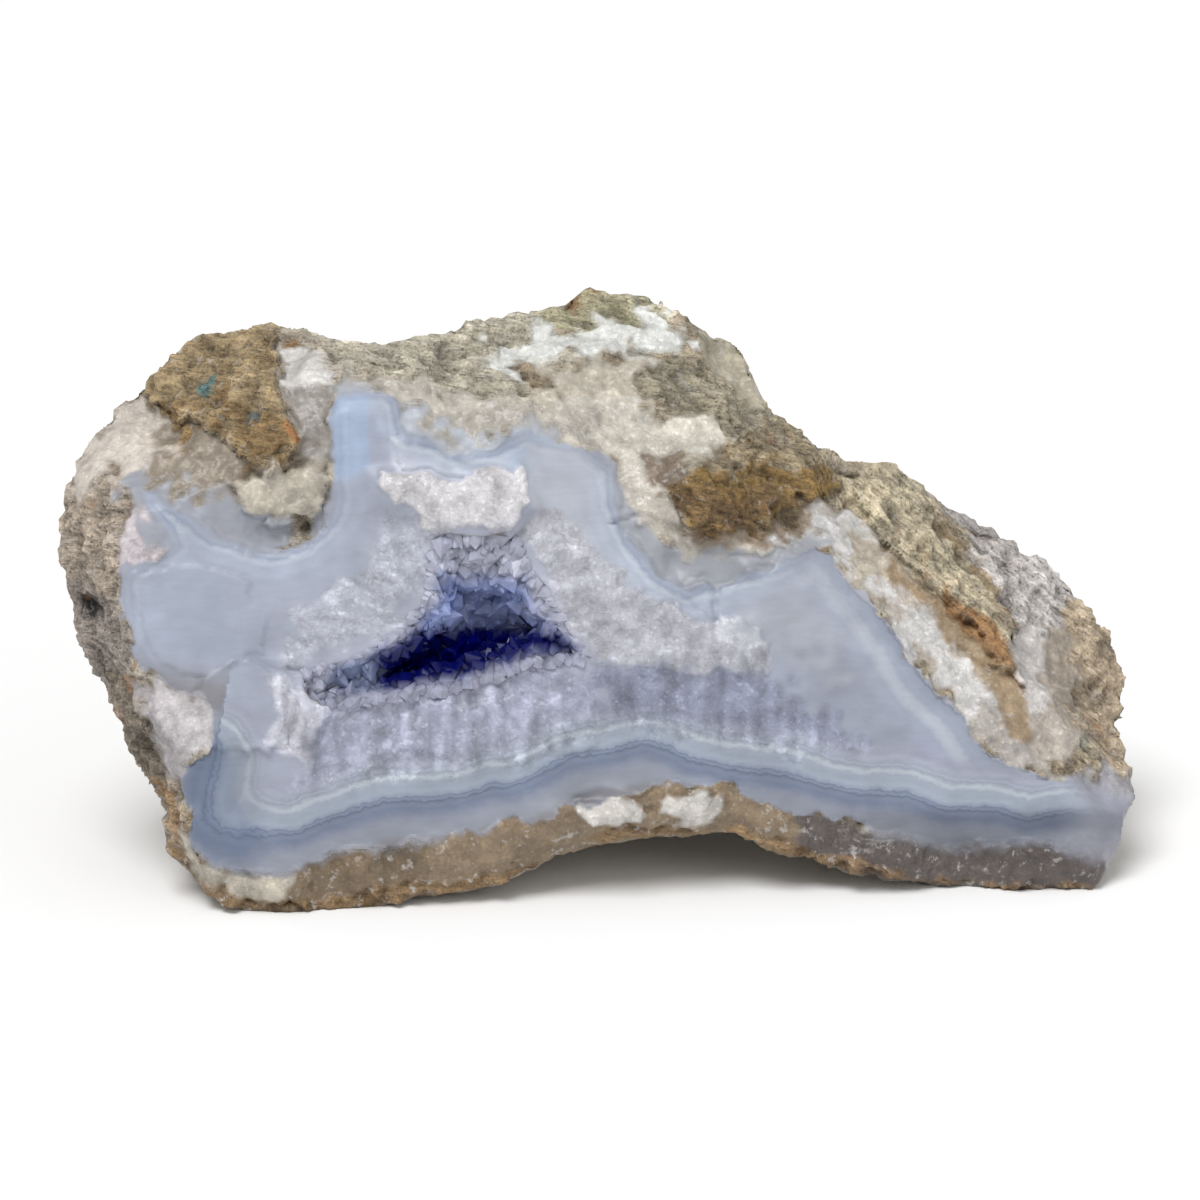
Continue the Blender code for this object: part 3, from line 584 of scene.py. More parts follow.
# Patches of colour, painted one over another: outline, colour, how soft its edge is,
# and what grew there: 0 agate, 1 quartz, 2 rock
rindPatches = {
    "edge of the left side": ([
        (-82, 69), (-70, 69), (-69, 58), (-71, 49), (-69, 34), (-63, 24), (-62, 8), (-75, 4), (-84, 30),
    ], (156, 144, 130), 2.0, 2),
    "smoky quartz left": ([
        (-72, 74), (-64, 75), (-55, 70), (-48, 66), (-50, 58), (-57, 56), (-64, 56), (-70, 62),
    ], (142, 131, 117), 2.0, 1),
    "glassy left edge": ([
        (-82, 67), (-77, 77), (-71, 81), (-66, 76), (-66, 71), (-70, 66), (-78, 64),
    ], (196, 187, 177), 3.0, 1),
    "grey rock left": ([
        (-82, 49), (-73, 48), (-71.5, 42), (-70, 36), (-72, 30), (-80, 32),
    ], (140, 131, 123), 1.5, 2),
    "pale crystals left": ([
        (-71, 50.5), (-72.5, 56), (-71, 61), (-67, 63), (-64.5, 60), (-64, 55), (-68, 52),
    ], (192, 184, 188), 1.5, 1),
    "smoky quartz low left": ([
        (-70, 33), (-63, 34), (-61, 26), (-61, 20), (-66, 20),
    ], (163, 158, 160), 2.0, 1),
    "dark edge low on the left": ([
        (-76, 38), (-72, 36), (-69.5, 31), (-66, 24), (-63, 17), (-66, 14), (-73, 26),
    ], (120, 110, 97), 1.4, 2),
    "white patch left": ([
        (-69, 35.6), (-66, 35.2), (-64.2, 32.8), (-59.3, 32.1), (-58.2, 29.3), (-56.9, 25.8),
        (-61.4, 23), (-62.4, 22), (-63.4, 25.8), (-66.2, 29.5), (-67.4, 32.5),
    ], (184, 179, 180), 1.4, 1),
    "slab": ([
        (-75, 78), (-71, 80), (-66.5, 76.5), (-64.5, 74.5), (-58, 72), (-55, 69.5), (-52.5, 68),
        (-49.5, 65.5), (-46.5, 68.5), (-45, 72.5), (-47.5, 77), (-49.5, 84.5), (-50, 92), (-72, 90),
    ], (152, 133, 102), 0.6, 2),
    "low end of the slab": ([
        (-66, 76), (-58, 72), (-52.5, 68), (-49.5, 65.5), (-46.5, 68.5), (-45.5, 73), (-52, 75),
    ], (134, 111, 76), 4.0, 2),
    "smoky strip by the slab": ([
        (-47.5, 79), (-40, 79), (-39.5, 66), (-46, 66), (-45, 72),
    ], (150, 145, 139), 1.5, 1),
    "white quartz by the slab": ([
        (-49, 85), (-45, 84.5), (-40.5, 83.5), (-40, 79), (-43.5, 77.5), (-47, 79),
    ], (206, 203, 200), 1.2, 1),
    "blue haze left": ([
        (-71, 64), (-64, 64), (-57, 62), (-51, 60.5), (-46, 61), (-43, 64), (-39, 68), (-37, 60),
        (-43, 53), (-56, 53), (-66, 55),
    ], (150, 153, 162), 3.2, 0),
    "cream lumps": ([
        (-55, 64), (-52, 66), (-45, 68), (-41, 67), (-35, 66.5), (-38, 63.5), (-43, 60), (-48, 59),
        (-53, 60.5),
    ], (182, 174, 160), 1.2, 1),
    "blue haze top": ([
        (-41, 80), (-28, 80), (-20, 75), (-8, 75), (0, 72), (5, 66), (2, 58), (-4, 63), (-14, 67),
        (-26, 67), (-36, 72),
    ], (168, 173, 181), 3.0, 0),
    "top rind": ([
        (-46, 90), (-40, 81), (-30, 79), (-20, 77.5), (-8, 77), (-4, 84), (-10, 93), (-40, 93),
    ], (170, 163, 147), 1.6, 2),
    "quartz under the top rind": ([
        (-41, 82), (-30, 80), (-20, 78), (-6, 77.5), (-2, 70), (-10, 72.5), (-20, 70.5), (-30, 76),
    ], (176, 170, 160), 2.2, 1),
    "peak": ([(-9, 90), (-4, 88), (4, 88.5), (12, 88), (6, 97), (-6, 97)], (156, 150, 124), 1.0, 2),
    "white top": ([
        (-16.7, 83.1), (-11.2, 85.8), (-8.5, 88), (-3.5, 87.5), (1.4, 90.2), (5.2, 91), (9.6, 90.2),
        (13.5, 86.4), (15.7, 84.5), (11.3, 84.2), (6.9, 85.3), (2.5, 84.7), (-3, 84.2),
        (-9.6, 83.9), (-14, 82),
    ], (216, 217, 213), 2.6, 1),
    "cream under the peak": ([
        (-9, 83), (6, 83), (8, 78), (4, 74), (-4, 74), (-10, 77),
    ], (188, 180, 165), 2.0, 1),
    "grey rock under the peak": ([
        (4.5, 81), (10, 84), (16.5, 83.5), (22.5, 77.5), (30, 72), (24, 71.5), (12, 74), (7, 77.5),
    ], (142, 134, 116), 1.0, 2),
    "brown dent under the top": ([
        (-13, 82.3), (-9, 82), (-5.5, 79), (-6.5, 77.8), (-11, 80),
    ], (134, 120, 100), 1.4, 2),
    "brown dent over the arch": ([
        (-4, 77), (0, 76.5), (3.5, 73), (2, 71.2), (-3, 74),
    ], (138, 124, 102), 1.4, 2),
    "chunk behind the peak": ([
        (15, 88), (25, 88), (26, 76.5), (21, 77), (16, 83),
    ], (176, 168, 150), 1.5, 1),
    "quartz round the lump": ([
        (-7, 77), (4, 77), (12, 73), (20, 72), (14, 68), (10, 63), (12, 58), (22, 55), (30, 56),
        (38, 60), (36, 56), (28, 53), (16, 52), (6, 57), (2, 66), (-5, 70),
    ], (192, 186, 175), 1.6, 1),
    "white chunks over the lump": ([
        (8, 74.3), (14.6, 75), (21.8, 71.8), (15.7, 69.9), (9, 68.8), (5.2, 71),
    ], (208, 203, 190), 1.6, 1),
    "smoky quartz beside the lump": ([
        (6.5, 68.3), (13.5, 68.8), (11.5, 64), (8, 65),
    ], (122, 108, 94), 1.2, 1),
    "smoky quartz under the lump": ([
        (11, 60), (15, 57), (25, 58), (33, 62), (36, 59), (28, 55), (16, 54.5), (9, 58),
    ], (140, 126, 110), 2.0, 1),
    "lump": ([
        (11, 63.5), (12.5, 66.5), (15, 68.5), (21, 70.5), (28.5, 71), (35, 69), (37.5, 66.5),
        (36, 63.5), (30, 62), (25.5, 59), (20, 57.5), (15, 57.5), (12, 59.5),
    ], (124, 100, 60), 0.7, 2),
    # painted light over the rock's own colour: the top of the lump is painted paler
    "lit top of the lump": ([
        (14, 68), (21, 72), (28.5, 72), (38, 68.5), (36, 64.5), (30, 67), (22, 67), (17, 66.5),
    ], (142, 129, 105), 2.4, 2),
    # painted shade over the rock's own colour: the low end of the lump is painted darker
    "shaded low end of the lump": ([
        (11, 63.5), (16, 64), (24, 62), (30, 62), (24, 58), (16, 57), (12, 59.5),
    ], (112, 90, 60), 2.4, 2),
    "quartz of the right slope": ([
        (36, 57), (44, 55), (52, 47), (60, 37), (66, 33), (73, 36), (72, 24), (64, 20), (56, 26),
        (46, 40), (40, 50),
    ], (180, 171, 161), 2.0, 1),
    "milky top of the right slope": ([
        (27.5, 56), (32, 59.2), (37.6, 60.2), (42, 57), (43, 50), (40, 47.5), (36.5, 51), (34, 54.5),
    ], (198, 197, 196), 3.0, 1),
    "smoky middle of the right slope": ([
        (38, 57), (43, 56), (48, 50), (46, 45), (42, 46), (38, 51),
    ], (170, 161, 147), 3.0, 1),
    "white streak of the right slope": ([
        (44, 48.5), (47, 48), (51.3, 45), (56.8, 37.6), (59.5, 31), (60.5, 26.5), (55, 29.8),
        (49.5, 35.8), (44, 41.3), (42, 44.5),
    ], (204, 202, 200), 3.2, 1),
    "end of the right slope": ([
        (58, 29), (64, 28), (68, 22), (70, 19), (64, 20.5), (59, 23.5),
    ], (172, 166, 160), 3.0, 1),
    "honey streak of the right slope": ([
        (43, 54), (49.5, 50), (55, 44.5), (62.3, 39), (64.4, 30.3), (67, 25), (62.3, 26),
        (58.7, 34), (54.5, 41), (49.5, 45.9), (44, 49.5),
    ], (158, 138, 112), 1.6, 1),
    "grey scallop": ([
        (2, 64), (4, 61), (8, 57), (13, 53.5), (20, 52.8), (26, 54.3), (32, 57), (36, 56), (33, 53), (24, 50),
        (17, 47), (12, 47), (6, 52), (1, 58),
    ], (156, 159, 166), 1.6, 0),
    "plate": ([
        (37.1, 62.4), (39.4, 66.5), (43, 70), (51.5, 64), (53, 57), (54.5, 52.8), (57, 49.5),
        (59.5, 45.9), (61.5, 43), (63.5, 40.4), (64.8, 35), (64.6, 32), (62.5, 36), (59, 40),
        (55, 43.8), (51.3, 48.6), (45.8, 53.2), (43, 57.3), (37.6, 59.6),
    ], (178, 167, 143), 0.6, 2),
    "rusty edge of the plate": ([
        (51.8, 49.8), (55.5, 46.3), (59.6, 43.6), (63, 40.4), (64.8, 33), (64.4, 31),
        (62.3, 36.4), (59, 39.6), (56.2, 41.6), (53, 45),
    ], (146, 113, 78), 0.8, 2),
    "pale rock right": ([
        (52, 64), (60, 50), (64, 42), (65, 34), (70, 35), (73, 44), (80, 48), (70, 56), (60, 62),
    ], (170, 165, 162), 1.8, 2),
    "white patch of the right end": ([
        (63, 41), (66, 43.5), (70, 41), (71, 33), (66, 29), (64, 34),
    ], (198, 193, 190), 1.6, 1),
    "smoky patch of the right end": ([
        (68, 43), (73, 44), (75, 36), (73, 29), (69, 31), (68, 36),
    ], (150, 140, 128), 1.8, 1),
    "right end": ([
        (72, 45), (77, 48), (84, 40), (84, 18), (78, 19), (74, 30),
    ], (170, 154, 132), 2.0, 2),
    "glassy right corner": ([
        (73, 22), (84, 22), (84, 2), (70, 1), (74, 12),
    ], (152, 150, 154), 2.4, 1),
    "smoky foot left": ([
        (-66, 12), (-62, 8), (-52, 5), (-41, 8), (-24, 11), (-24, -2), (-60, -3),
    ], (114, 98, 78), 1.6, 1),
    "smoky foot middle": ([
        (-26, 11.5), (-8, 15), (6, 19.5), (20, 19.5), (31, 14), (31, 5), (-10, 2), (-26, 0),
    ], (132, 115, 93), 1.6, 1),
    "smoky foot right": ([
        (29, 15), (43, 12), (62, 9.5), (77, 10.5), (76, 0), (30, 0),
    ], (88, 80, 77), 1.6, 1),
    "crystals of the lower left corner": ([
        (-64.5, 11.8), (-62, 11), (-60, 7.6), (-56.5, 8.6), (-54.4, 5.5), (-51.6, 4.1), (-46, 5.5),
        (-47.4, 2), (-53, 1), (-58, 2), (-60.7, 4.8),
    ], (178, 170, 156), 1.6, 1),
    "left quartz in the lower rind": ([
        (-4, 17.5), (0, 18.5), (6, 17.5), (7.5, 15), (4.5, 12.5), (-1.5, 13),
    ], (196, 192, 186), 0.9, 1),
    "right quartz in the lower rind": ([
        (9, 17), (13.5, 18.5), (18, 17), (17.5, 14), (12, 13), (9.5, 14.5),
    ], (194, 190, 184), 0.9, 1),
}

# The same for the inside of the agate
agatePatches = {
    "left lobe": ([
        (-63, 26), (-55, 26), (-53, 15), (-50, 9), (-55, 6), (-62, 10),
    ], (100, 121, 156), 3.0, 0),
    "bright left": ([
        (-71, 50), (-62, 53), (-54, 50), (-50, 44), (-51, 34), (-58, 31), (-66, 34), (-71, 43),
    ], (156, 163, 179), 7.0, 0),
    "upper left": ([
        (-50, 54), (-44, 55), (-38, 60), (-30, 60), (-26, 50), (-32, 42), (-44, 38), (-52, 44),
    ], (157, 162, 177), 6.0, 0),
    "frost left of the hollow": ([
        (-38, 50), (-32, 58), (-28, 60), (-24, 57), (-25.5, 47), (-30, 42), (-38, 39), (-46, 37),
        (-46, 43),
    ], (171, 174, 185), 3.0, 1),
    "blue pillar": ([
        (-39.5, 76), (-34.5, 76.5), (-34.5, 67), (-39.5, 64),
    ], (152, 168, 195), 1.6, 0),
    "top arch": ([
        (-34, 77), (-30, 73), (-20, 70.5), (-11, 72.5), (-4, 70), (-8, 66), (-16, 67), (-26, 68.5),
        (-34, 73),
    ], (158, 170, 188), 1.6, 0),
    "wedge": ([
        (-32, 72), (-26, 69.5), (-20, 68), (-15, 67.5), (-16, 65), (-31, 65),
    ], (197, 199, 211), 0.9, 0),
    "pale top": ([
        (-12, 71.5), (-4, 69.5), (2, 66), (2, 60), (6, 54), (12, 48), (8, 44), (0, 48), (-8, 54),
        (-11, 62),
    ], (168, 172, 182), 3.0, 0),
    "frosted right shoulder": ([
        (-9, 60), (-4, 58), (2, 52), (8, 47), (18, 43), (26, 40), (24, 36), (12, 36), (2, 38),
        (-4, 40), (-8, 50), (-12, 57),
    ], (173, 174, 182), 1.2, 1),
    "frosted ledge": ([
        (-33.6, 66), (-30.7, 65.8), (-26.8, 65), (-23, 64.8), (-17.7, 66.6), (-13.3, 66.8),
        (-11.6, 67.7), (-10.6, 63.9), (-9.3, 61.5), (-11.4, 59.5), (-13.3, 57.6), (-17.2, 57.3),
        (-21, 56.9), (-24, 56.3), (-26.4, 58), (-27.8, 60), (-30.7, 61.5), (-32.7, 63.4),
    ], (205, 203, 206), 0.5, 1),
    "bright spot of the shoulder": ([
        (16.5, 43.5), (19, 45), (23, 44.2), (24.5, 41), (20, 39.5), (17, 41),
    ], (200, 201, 208), 0.9, 1),
    "right field": ([
        (20, 48), (34, 53), (40, 46), (50, 33), (46, 28), (34, 30), (24, 40),
    ], (159, 163, 173), 5.0, 0),
    "low end of the right field": ([
        (26, 36), (38, 37), (47, 32), (56, 24), (48, 20), (36, 22), (28, 30),
    ], (142, 147, 161), 6.0, 0),
    "lilac under the hollow": ([
        (-45, 32), (-38, 31.5), (-28, 34.5), (-17.5, 36), (-7, 38.5), (0, 37), (0, 26), (-14, 23),
        (-30, 20), (-46, 18),
    ], (157, 160, 178), 3.0, 1),
    "lilac right": ([
        (0, 37), (10, 36), (24, 36), (34, 30), (40, 24), (30, 24), (12, 27), (0, 27),
    ], (132, 137, 156), 3.0, 1),
    "dark tip on the right": ([
        (50, 26), (58, 21), (61, 16.5), (52, 17.5), (44, 20),
    ], (136, 141, 163), 5.0, 0),
    "pale end on the right": ([
        (60, 21), (65, 21), (70, 18.5), (71, 15.5), (64, 15), (60, 17.5),
    ], (168, 175, 187), 2.6, 0),
    "right corner": ([
        (70, 22), (86, 22), (86, 5), (72, 5), (73, 15),
    ], (157, 156, 167), 4.0, 0),
    "broken patch": ([
        (-48.8, 36.3), (-46, 36.3), (-44.6, 33.5), (-42.4, 32.8), (-41.8, 28.6), (-42.8, 25.8),
        (-43.9, 23), (-44.6, 20.9), (-46.7, 23.7), (-49.5, 25.8), (-48.5, 28.6), (-49.2, 32.8),
    ], (192, 193, 203), 0.9, 1),
}

# Small spots on the rock: middle (across, up), radius, colour
spots = [
    ((-59.5, 78.3), 1.4, (80, 108, 106)),
    ((-51.7, 74.1), 0.9, (100, 110, 108)),
    ((-46, 72.3), 1.2, (146, 104, 66)),
    ((-46.5, 85), 1.0, (152, 118, 80)),
    ((-77.2, 45.6), 1.6, (38, 34, 30)),
]

# Colours of the bands: distance in millimetres, then the colour
footBands = [
    (-6.0, (126, 125, 131)), (-5.0, (134, 138, 148)), (-3.2, (136, 141, 154)),
    (-2.4, (130, 136, 151)), (-1.8, (119, 127, 145)), (-1.1, (109, 119, 141)),
    (-0.5, (116, 126, 146)), (-0.2, (112, 121, 141)), (0.0, (95, 106, 128)),
    (0.2, (117, 127, 147)), (0.45, (126, 136, 155)), (0.62, (106, 117, 138)),
    (0.85, (136, 145, 162)), (1.5, (150, 159, 173)), (2.3, (145, 154, 167)),
    (3.1, (149, 156, 170)), (3.35, (163, 171, 181)), (3.7, (171, 178, 186)), (3.95, (158, 166, 177)),
    (4.35, (143, 150, 163)), (4.7, (158, 165, 177)), (4.95, (147, 153, 168)), (5.6, (157, 162, 176)),
    (6.6, (149, 153, 169)), (8.0, (153, 157, 173)), (10.0, (159, 162, 178)),
]
slopeBands = [
    (-0.4, (160, 162, 170)), (0.0, (122, 127, 143)), (0.35, (140, 147, 163)),
    (1.3, (148, 155, 170)), (2.2, (150, 157, 172)), (2.9, (166, 173, 184)),
    (3.8, (172, 178, 188)), (4.6, (163, 170, 182)), (5.2, (150, 157, 173)),
    (7.0, (152, 158, 174)), (9.0, (156, 162, 178)), (12.0, (162, 168, 182)),
]
rimBands = [
    (-0.4, (150, 150, 158)), (0.0, (140, 146, 158)), (0.5, (152, 160, 176)),
    (1.1, (140, 150, 169)), (1.5, (166, 174, 187)), (1.9, (178, 186, 198)),
    (2.5, (163, 172, 188)), (3.6, (171, 179, 194)), (4.6, (160, 169, 186)),
    (5.8, (172, 179, 194)), (7.5, (166, 174, 190)), (9.0, (160, 168, 185)),
]


def wander(points, layers):
    # moves points on the face a little, so that drawn outlines become ragged breaks
    moved = points[:, [0, 2]].copy()
    for size, reach in layers:
        shift = np.array([noise.noise_vector(Vector(point) / size) for point in points])
        moved += shift[:, :2] * reach * stone["raggedScale"]
    return moved


def creased(points, size, start):
    # sharp ridges, along the lines where the waves are neither high nor low
    return 0.5 - stone["creaseSharpness"] * np.abs(waves(points, size, start))


def fineSurface():
    made = objectOf("geode_stone", meshOf("geode_copy", mergedCopy("geode")))
    grid = made.modifiers.new("fine grid", "REMESH")
    grid.mode = "VOXEL"
    grid.voxel_size = stone["gridStep"] * coarser * mm
    settle(made)
    _, facing = readSurface(made.data)
    weigh(made, "back", fade(facing[:, 1], *stone["facings"]["back"]))
    softer = made.modifiers.new("soften", "SMOOTH")
    softer.factor = stone["smoothStep"]
    softer.iterations = stone["softening"]
    backSofter = made.modifiers.new("soften the back", "SMOOTH")
    backSofter.factor = stone["smoothStep"]
    backSofter.iterations = stone["backSoftening"]
    backSofter.vertex_group = "back"
    settle(made)
    made.vertex_groups.clear()
    return made


class Surface:
    # the stone point by point: where each point is, what grew there, its colour and its light
    def __init__(self, mesh):
        self.place, self.facing = readSurface(mesh)
        self.height = toFrame(self.place)[:, 2] / mm
        self.flat = self.place[:, [0, 2]]
        self.across, self.up = self.flat.T
        self.ragged = wander(self.place, stone["raggedness"])
        self.front = fade(self.facing[:, 1], *stone["facings"]["front"])
        self.border = insideBy(self.ragged, agateOutline)
        self.smoothBorder = insideBy(self.flat, agateOutline)
        self.lip = -insideBy(self.flat, lipOutline)
        self.line = aboveLine(self.flat, darkLine)
        self.agate = self.agateShare()
        self.quartz = np.zeros(len(self.place))
        self.rock = np.ones(len(self.place))
        self.light = np.ones(len(self.place))
        self.wide = self.noise("wide clouds")
        self.middle = self.noise("clouds")
        self.small = self.noise("small clouds")

    def noise(self, name, stretch=1.0):
        return waves(self.place * np.array(stretch), *stone["noises"][name])

    def haze(self, values, name):
        start, end, most = stone[name]
        return most * fade(values, start, end)

    def agateShare(self):
        softness = self.haze(self.up, "lowHaze") + self.haze(self.across, "rightHaze")
        corner = np.hypot(*(self.flat - np.array(stone["upperLeft"])).T)
        softness += self.haze(corner, "upperLeftHaze")
        return rise(self.border / (stone["agateEdge"] + softness) + 0.5) * self.front


def paintPatches(surface, patches, mottle, only):
    for outline, colour, softness, growth in patches.values():
        mottledBy = min(softness, stone["mostUneven"]) * stone["mottledEdge"]
        near = closeTo(surface.ragged, outline, softness * (0.5 + mottledBy) + 1)
        inside = insideBy(surface.ragged[near], outline) / softness
        share = rise(inside + 0.5 + mottle[near] * mottledBy) * only[near]
        surface.tint[near] += (shade(colour) - surface.tint[near]) * share[:, None]
        surface.quartz[near] += ((growth == 1) - surface.quartz[near]) * share
        surface.rock[near] += ((growth == 2) - surface.rock[near]) * share


def layColours(surface):
    # bare rock in four tones, then the patches of the rind, then the agate and its patches
    wide, middle, small = surface.wide, surface.middle, surface.small
    pale, dark, grey = stone["toneContrast"]
    smallInPale, middleInDark = stone["toneRaggedness"]
    mottle = (middle + small) * stone["patchMottle"]
    surface.tint = np.tile(shade(stone["rock"]), (len(surface.place), 1))
    blend(surface.tint, stone["paleRock"], rise(wide * pale + small * smallInPale))
    blend(surface.tint, stone["darkRock"], rise(-wide * dark + middle * middleInDark))
    blend(surface.tint, stone["greyRock"], rise(middle * grey + stone["greyOffset"]) * stone["greyShare"])
    painted = fade(surface.facing[:, 1], *stone["facings"]["painted"])
    paintPatches(surface, rindPatches, mottle, painted)
    blend(surface.tint, stone["agate"], surface.agate)
    surface.quartz *= 1 - surface.agate
    surface.rock *= 1 - surface.agate
    paintPatches(surface, agatePatches, mottle * stone["agateMottle"], surface.agate)
    for spot, radius, colour in spots:
        away = np.hypot(*(surface.ragged - np.array(spot)).T)
        share = rise((radius - away) / stone["spotEdge"] + 0.5)
        blend(surface.tint, colour, share * surface.front)


def layLight(surface):
    # lighter and darker parts, combed streaks under the hollow and clouds in the agate
    across, up, agate = surface.across, surface.up, surface.agate
    roughness = stone["mottleOnAgate"] + surface.rock + surface.quartz * stone["mottleOnQuartz"]
    for size, strength in stone["mottle"]:
        mottle = waves(surface.place, size, stone["mottleStart"] + size)
        surface.light += mottle * strength * 2 * roughness
    streaks = surface.noise("streaks", stone["streakStretch"])
    combed = surface.quartz * agate * fade(up, *stone["streaksUnder"])
    surface.light *= 1 + streaks * stone["streakDepth"] * combed
    clouds = surface.wide * stone["wideCloudDepth"] + surface.middle * stone["cloudDepth"]
    surface.light *= 1 + clouds * agate
    lowTip = fade(across, *stone["tipAcross"]) * fade(up, *stone["tipUp"]) * agate
    surface.light *= 1 - stone["tipDarkness"] * lowTip


def layEdges(surface):
    # a rind line along the foot, and paler crystals in the hollow's lip
    inStone = insideBy(surface.ragged, stoneOutline)
    foot = fade(inStone, *stone["rindLineWidth"]) * fade(surface.up, *stone["rindLineUp"])
    foot *= surface.front * stone["rindLineShare"]
    blend(surface.tint, stone["rindLine"], foot)
    surface.rock = np.maximum(surface.rock, foot)
    lipShare = fade(surface.lip, *stone["lipWidth"]) * surface.agate * (surface.lip > -1)
    blend(surface.tint, stone["lipCrystals"], lipShare * stone["lipShare"])


def ledgeDepths(surface):
    # how far each point moves away from the viewer
    away = np.zeros(len(surface.place))
    for depth, outline in ledges.values():
        sharp = stepBy(surface.ragged, outline, stone["stepWidth"])
        soft = stepBy(surface.flat, outline, stone["softStepWidth"])
        away += depth * stone["ledgeShare"] * (sharp - soft)
    for depth, outline in smallLedges.values():
        away += depth * stepBy(surface.ragged, outline, stone["stepWidth"])
    sunk = fade(surface.border, *stone["sunkBeyond"]) * fade(surface.up, *stone["sunkUp"])
    return away + sunk * stone["sunkRind"]


def grainHeights(surface):
    # how far each point moves out of the stone
    place, rock, quartz, agate = surface.place, surface.rock, surface.quartz, surface.agate
    outward = np.zeros(len(place))
    bare = stone["grainOffRock"]
    for number, (size, tall) in enumerate(stone["rockGrain"]):
        ridges = creased(place, size, stone["rockGrainStart"] + number)
        outward += ridges * tall * (bare + (1 - bare) * rock) * (1 - agate)
    for number, (size, tall) in enumerate(stone["agateGrain"]):
        outward += waves(place, size, stone["agateGrainStart"] + number) * tall
    frosty = np.flatnonzero(quartz > stone["leastFrost"])
    for size, tall in stone["frostPoints"]:
        outward[frosty] += cellHeights(place[frosty], size) * tall * quartz[frosty]
    for number, (size, tall) in enumerate(stone["frostGrain"]):
        ridges = creased(place[frosty], size, stone["frostGrainStart"] + number)
        outward[frosty] += ridges * tall * quartz[frosty]
    # painted light and shade: ridges painted paler and hollows darker, by their height
    paintedShade = ((outward - outward.mean()) * stone["paintedShadeTone"]).clip(-stone["mostPaintedShade"], stone["mostPaintedShade"])
    surface.light *= 1 + paintedShade * np.maximum(rock, quartz * (1 - agate) * stone["paintedShadeOnQuartz"])
    return outward


def addRays(surface, outward):
    # streaks of crystals that run out from the hollow
    outOf = surface.flat - np.array(lipOutline, float).mean(axis=0)
    far = np.hypot(*outOf.T).clip(1)
    turns = outOf / far[:, None] * stone["rayCount"]
    around = np.stack([turns[:, 0], far * stone["rayShortness"], turns[:, 1]], axis=1)
    rays = waves(around, *stone["noises"]["rays"])
    rays += waves(around * stone["fineRays"], *stone["noises"]["fine rays"]) * stone["fineRayShare"]
    share = surface.quartz * surface.agate * fade(far, *stone["raysWithin"])
    outward += rays * stone["rayDepth"] * share
    surface.light *= 1 + rays * stone["rayDarkness"] * share


def alongBeds(place):
    # places turned along the rock's beds, drawn out so that a grain laid on them runs with the beds
    left, right = stone["slopeOfBeds"]
    slope = np.radians(left + (right - left) * fade(place[:, 0], *stone["bedTurn"]))
    along = place[:, 0] * np.cos(slope) + place[:, 2] * np.sin(slope)
    across = place[:, 2] * np.cos(slope) - place[:, 0] * np.sin(slope)
    return np.stack([along, place[:, 1], across], axis=1) * np.array(stone["bedStretch"]) * mm


def keepBands(surface, mesh):
    # distances that the bands follow, and where each kind of band shows
    across, up, agate = surface.across, surface.up, surface.agate
    line, border = surface.line, surface.smoothBorder
    wobble = surface.noise("slow wobble") * stone["slowWobble"]
    wobble += surface.noise("quick wobble") * stone["quickWobble"]
    lobe = fade(across, *stone["lobeAcross"]) * fade(up, *stone["lobeUp"])
    surface.light *= 1 - stone["lobeDarkness"] * lobe * agate
    foot = fade(line, *stone["footWithin"]) * agate
    foot *= fade(up + stone["footTilt"] * across, *stone["footUnder"])
    foot *= 1 - stone["footOnLobe"] * lobe
    foot *= 1 - stone["footAtTip"] * fade(across, *stone["footTip"])
    line = line * (1 - stone["lobeWidening"] * lobe)
    slope = fade(across, *stone["slopeAcross"]) * fade(border, *stone["slopeWithin"])
    slope *= fade(line, *stone["slopeAboveFoot"]) * agate
    start = stone["slopeStart"]
    slope *= start + (1 - start) * fade(across, *stone["slopeFull"])
    rim = fade(border, *stone["rimWithin"]) * (1 - foot) * (1 - slope) * agate * (1 - surface.quartz)
    scallops = np.zeros(len(up))
    for spot, reach in stone["scallops"]:
        away = np.hypot(*(surface.flat - np.array(spot)).T) / reach
        scallops = np.maximum(scallops, fade(away, *stone["scallopFade"]))
    rim *= stone["rimElsewhere"] + stone["rimInScallops"] * scallops
    keepValues(mesh, "line", line + wobble * stone["lineWobble"])
    keepValues(mesh, "border", border + wobble)
    keepValues(mesh, "footShare", foot)
    keepValues(mesh, "slopeShare", slope)
    keepValues(mesh, "rimShare", rim)


def shapeStone(made):
    mesh = made.data
    surface = Surface(mesh)
    print("surface read:", len(surface.place), "points")
    layColours(surface)
    layLight(surface)
    layEdges(surface)
    print("colours laid")
    away = ledgeDepths(surface)
    outward = grainHeights(surface)
    addRays(surface, outward)
    print("relief worked out")

    calm = fade(surface.lip, *stone["calmLip"])
    surface.place[:, 1] += away * surface.front * calm
    surface.place += surface.facing * (outward * calm)[:, None]
    shaped = toFrame(surface.place)
    standing = surface.height < stone["footMargin"]
    shaped[:, 2] = np.where(standing, 0.0, np.maximum(shaped[:, 2], 0.0))
    mesh.vertices.foreach_set("co", shaped.reshape(-1))

    keepBands(surface, mesh)
    keepColours(mesh, "tint", surface.tint)
    keepPlaces(mesh, "bedding", alongBeds(surface.place))
    keepValues(mesh, "uneven", surface.light.clip(stone["leastLight"], stone["mostLight"]))
    keepValues(mesh, "quartz", surface.quartz)
    keepValues(mesh, "inAgate", surface.agate)
    keepValues(mesh, "rock", surface.rock)


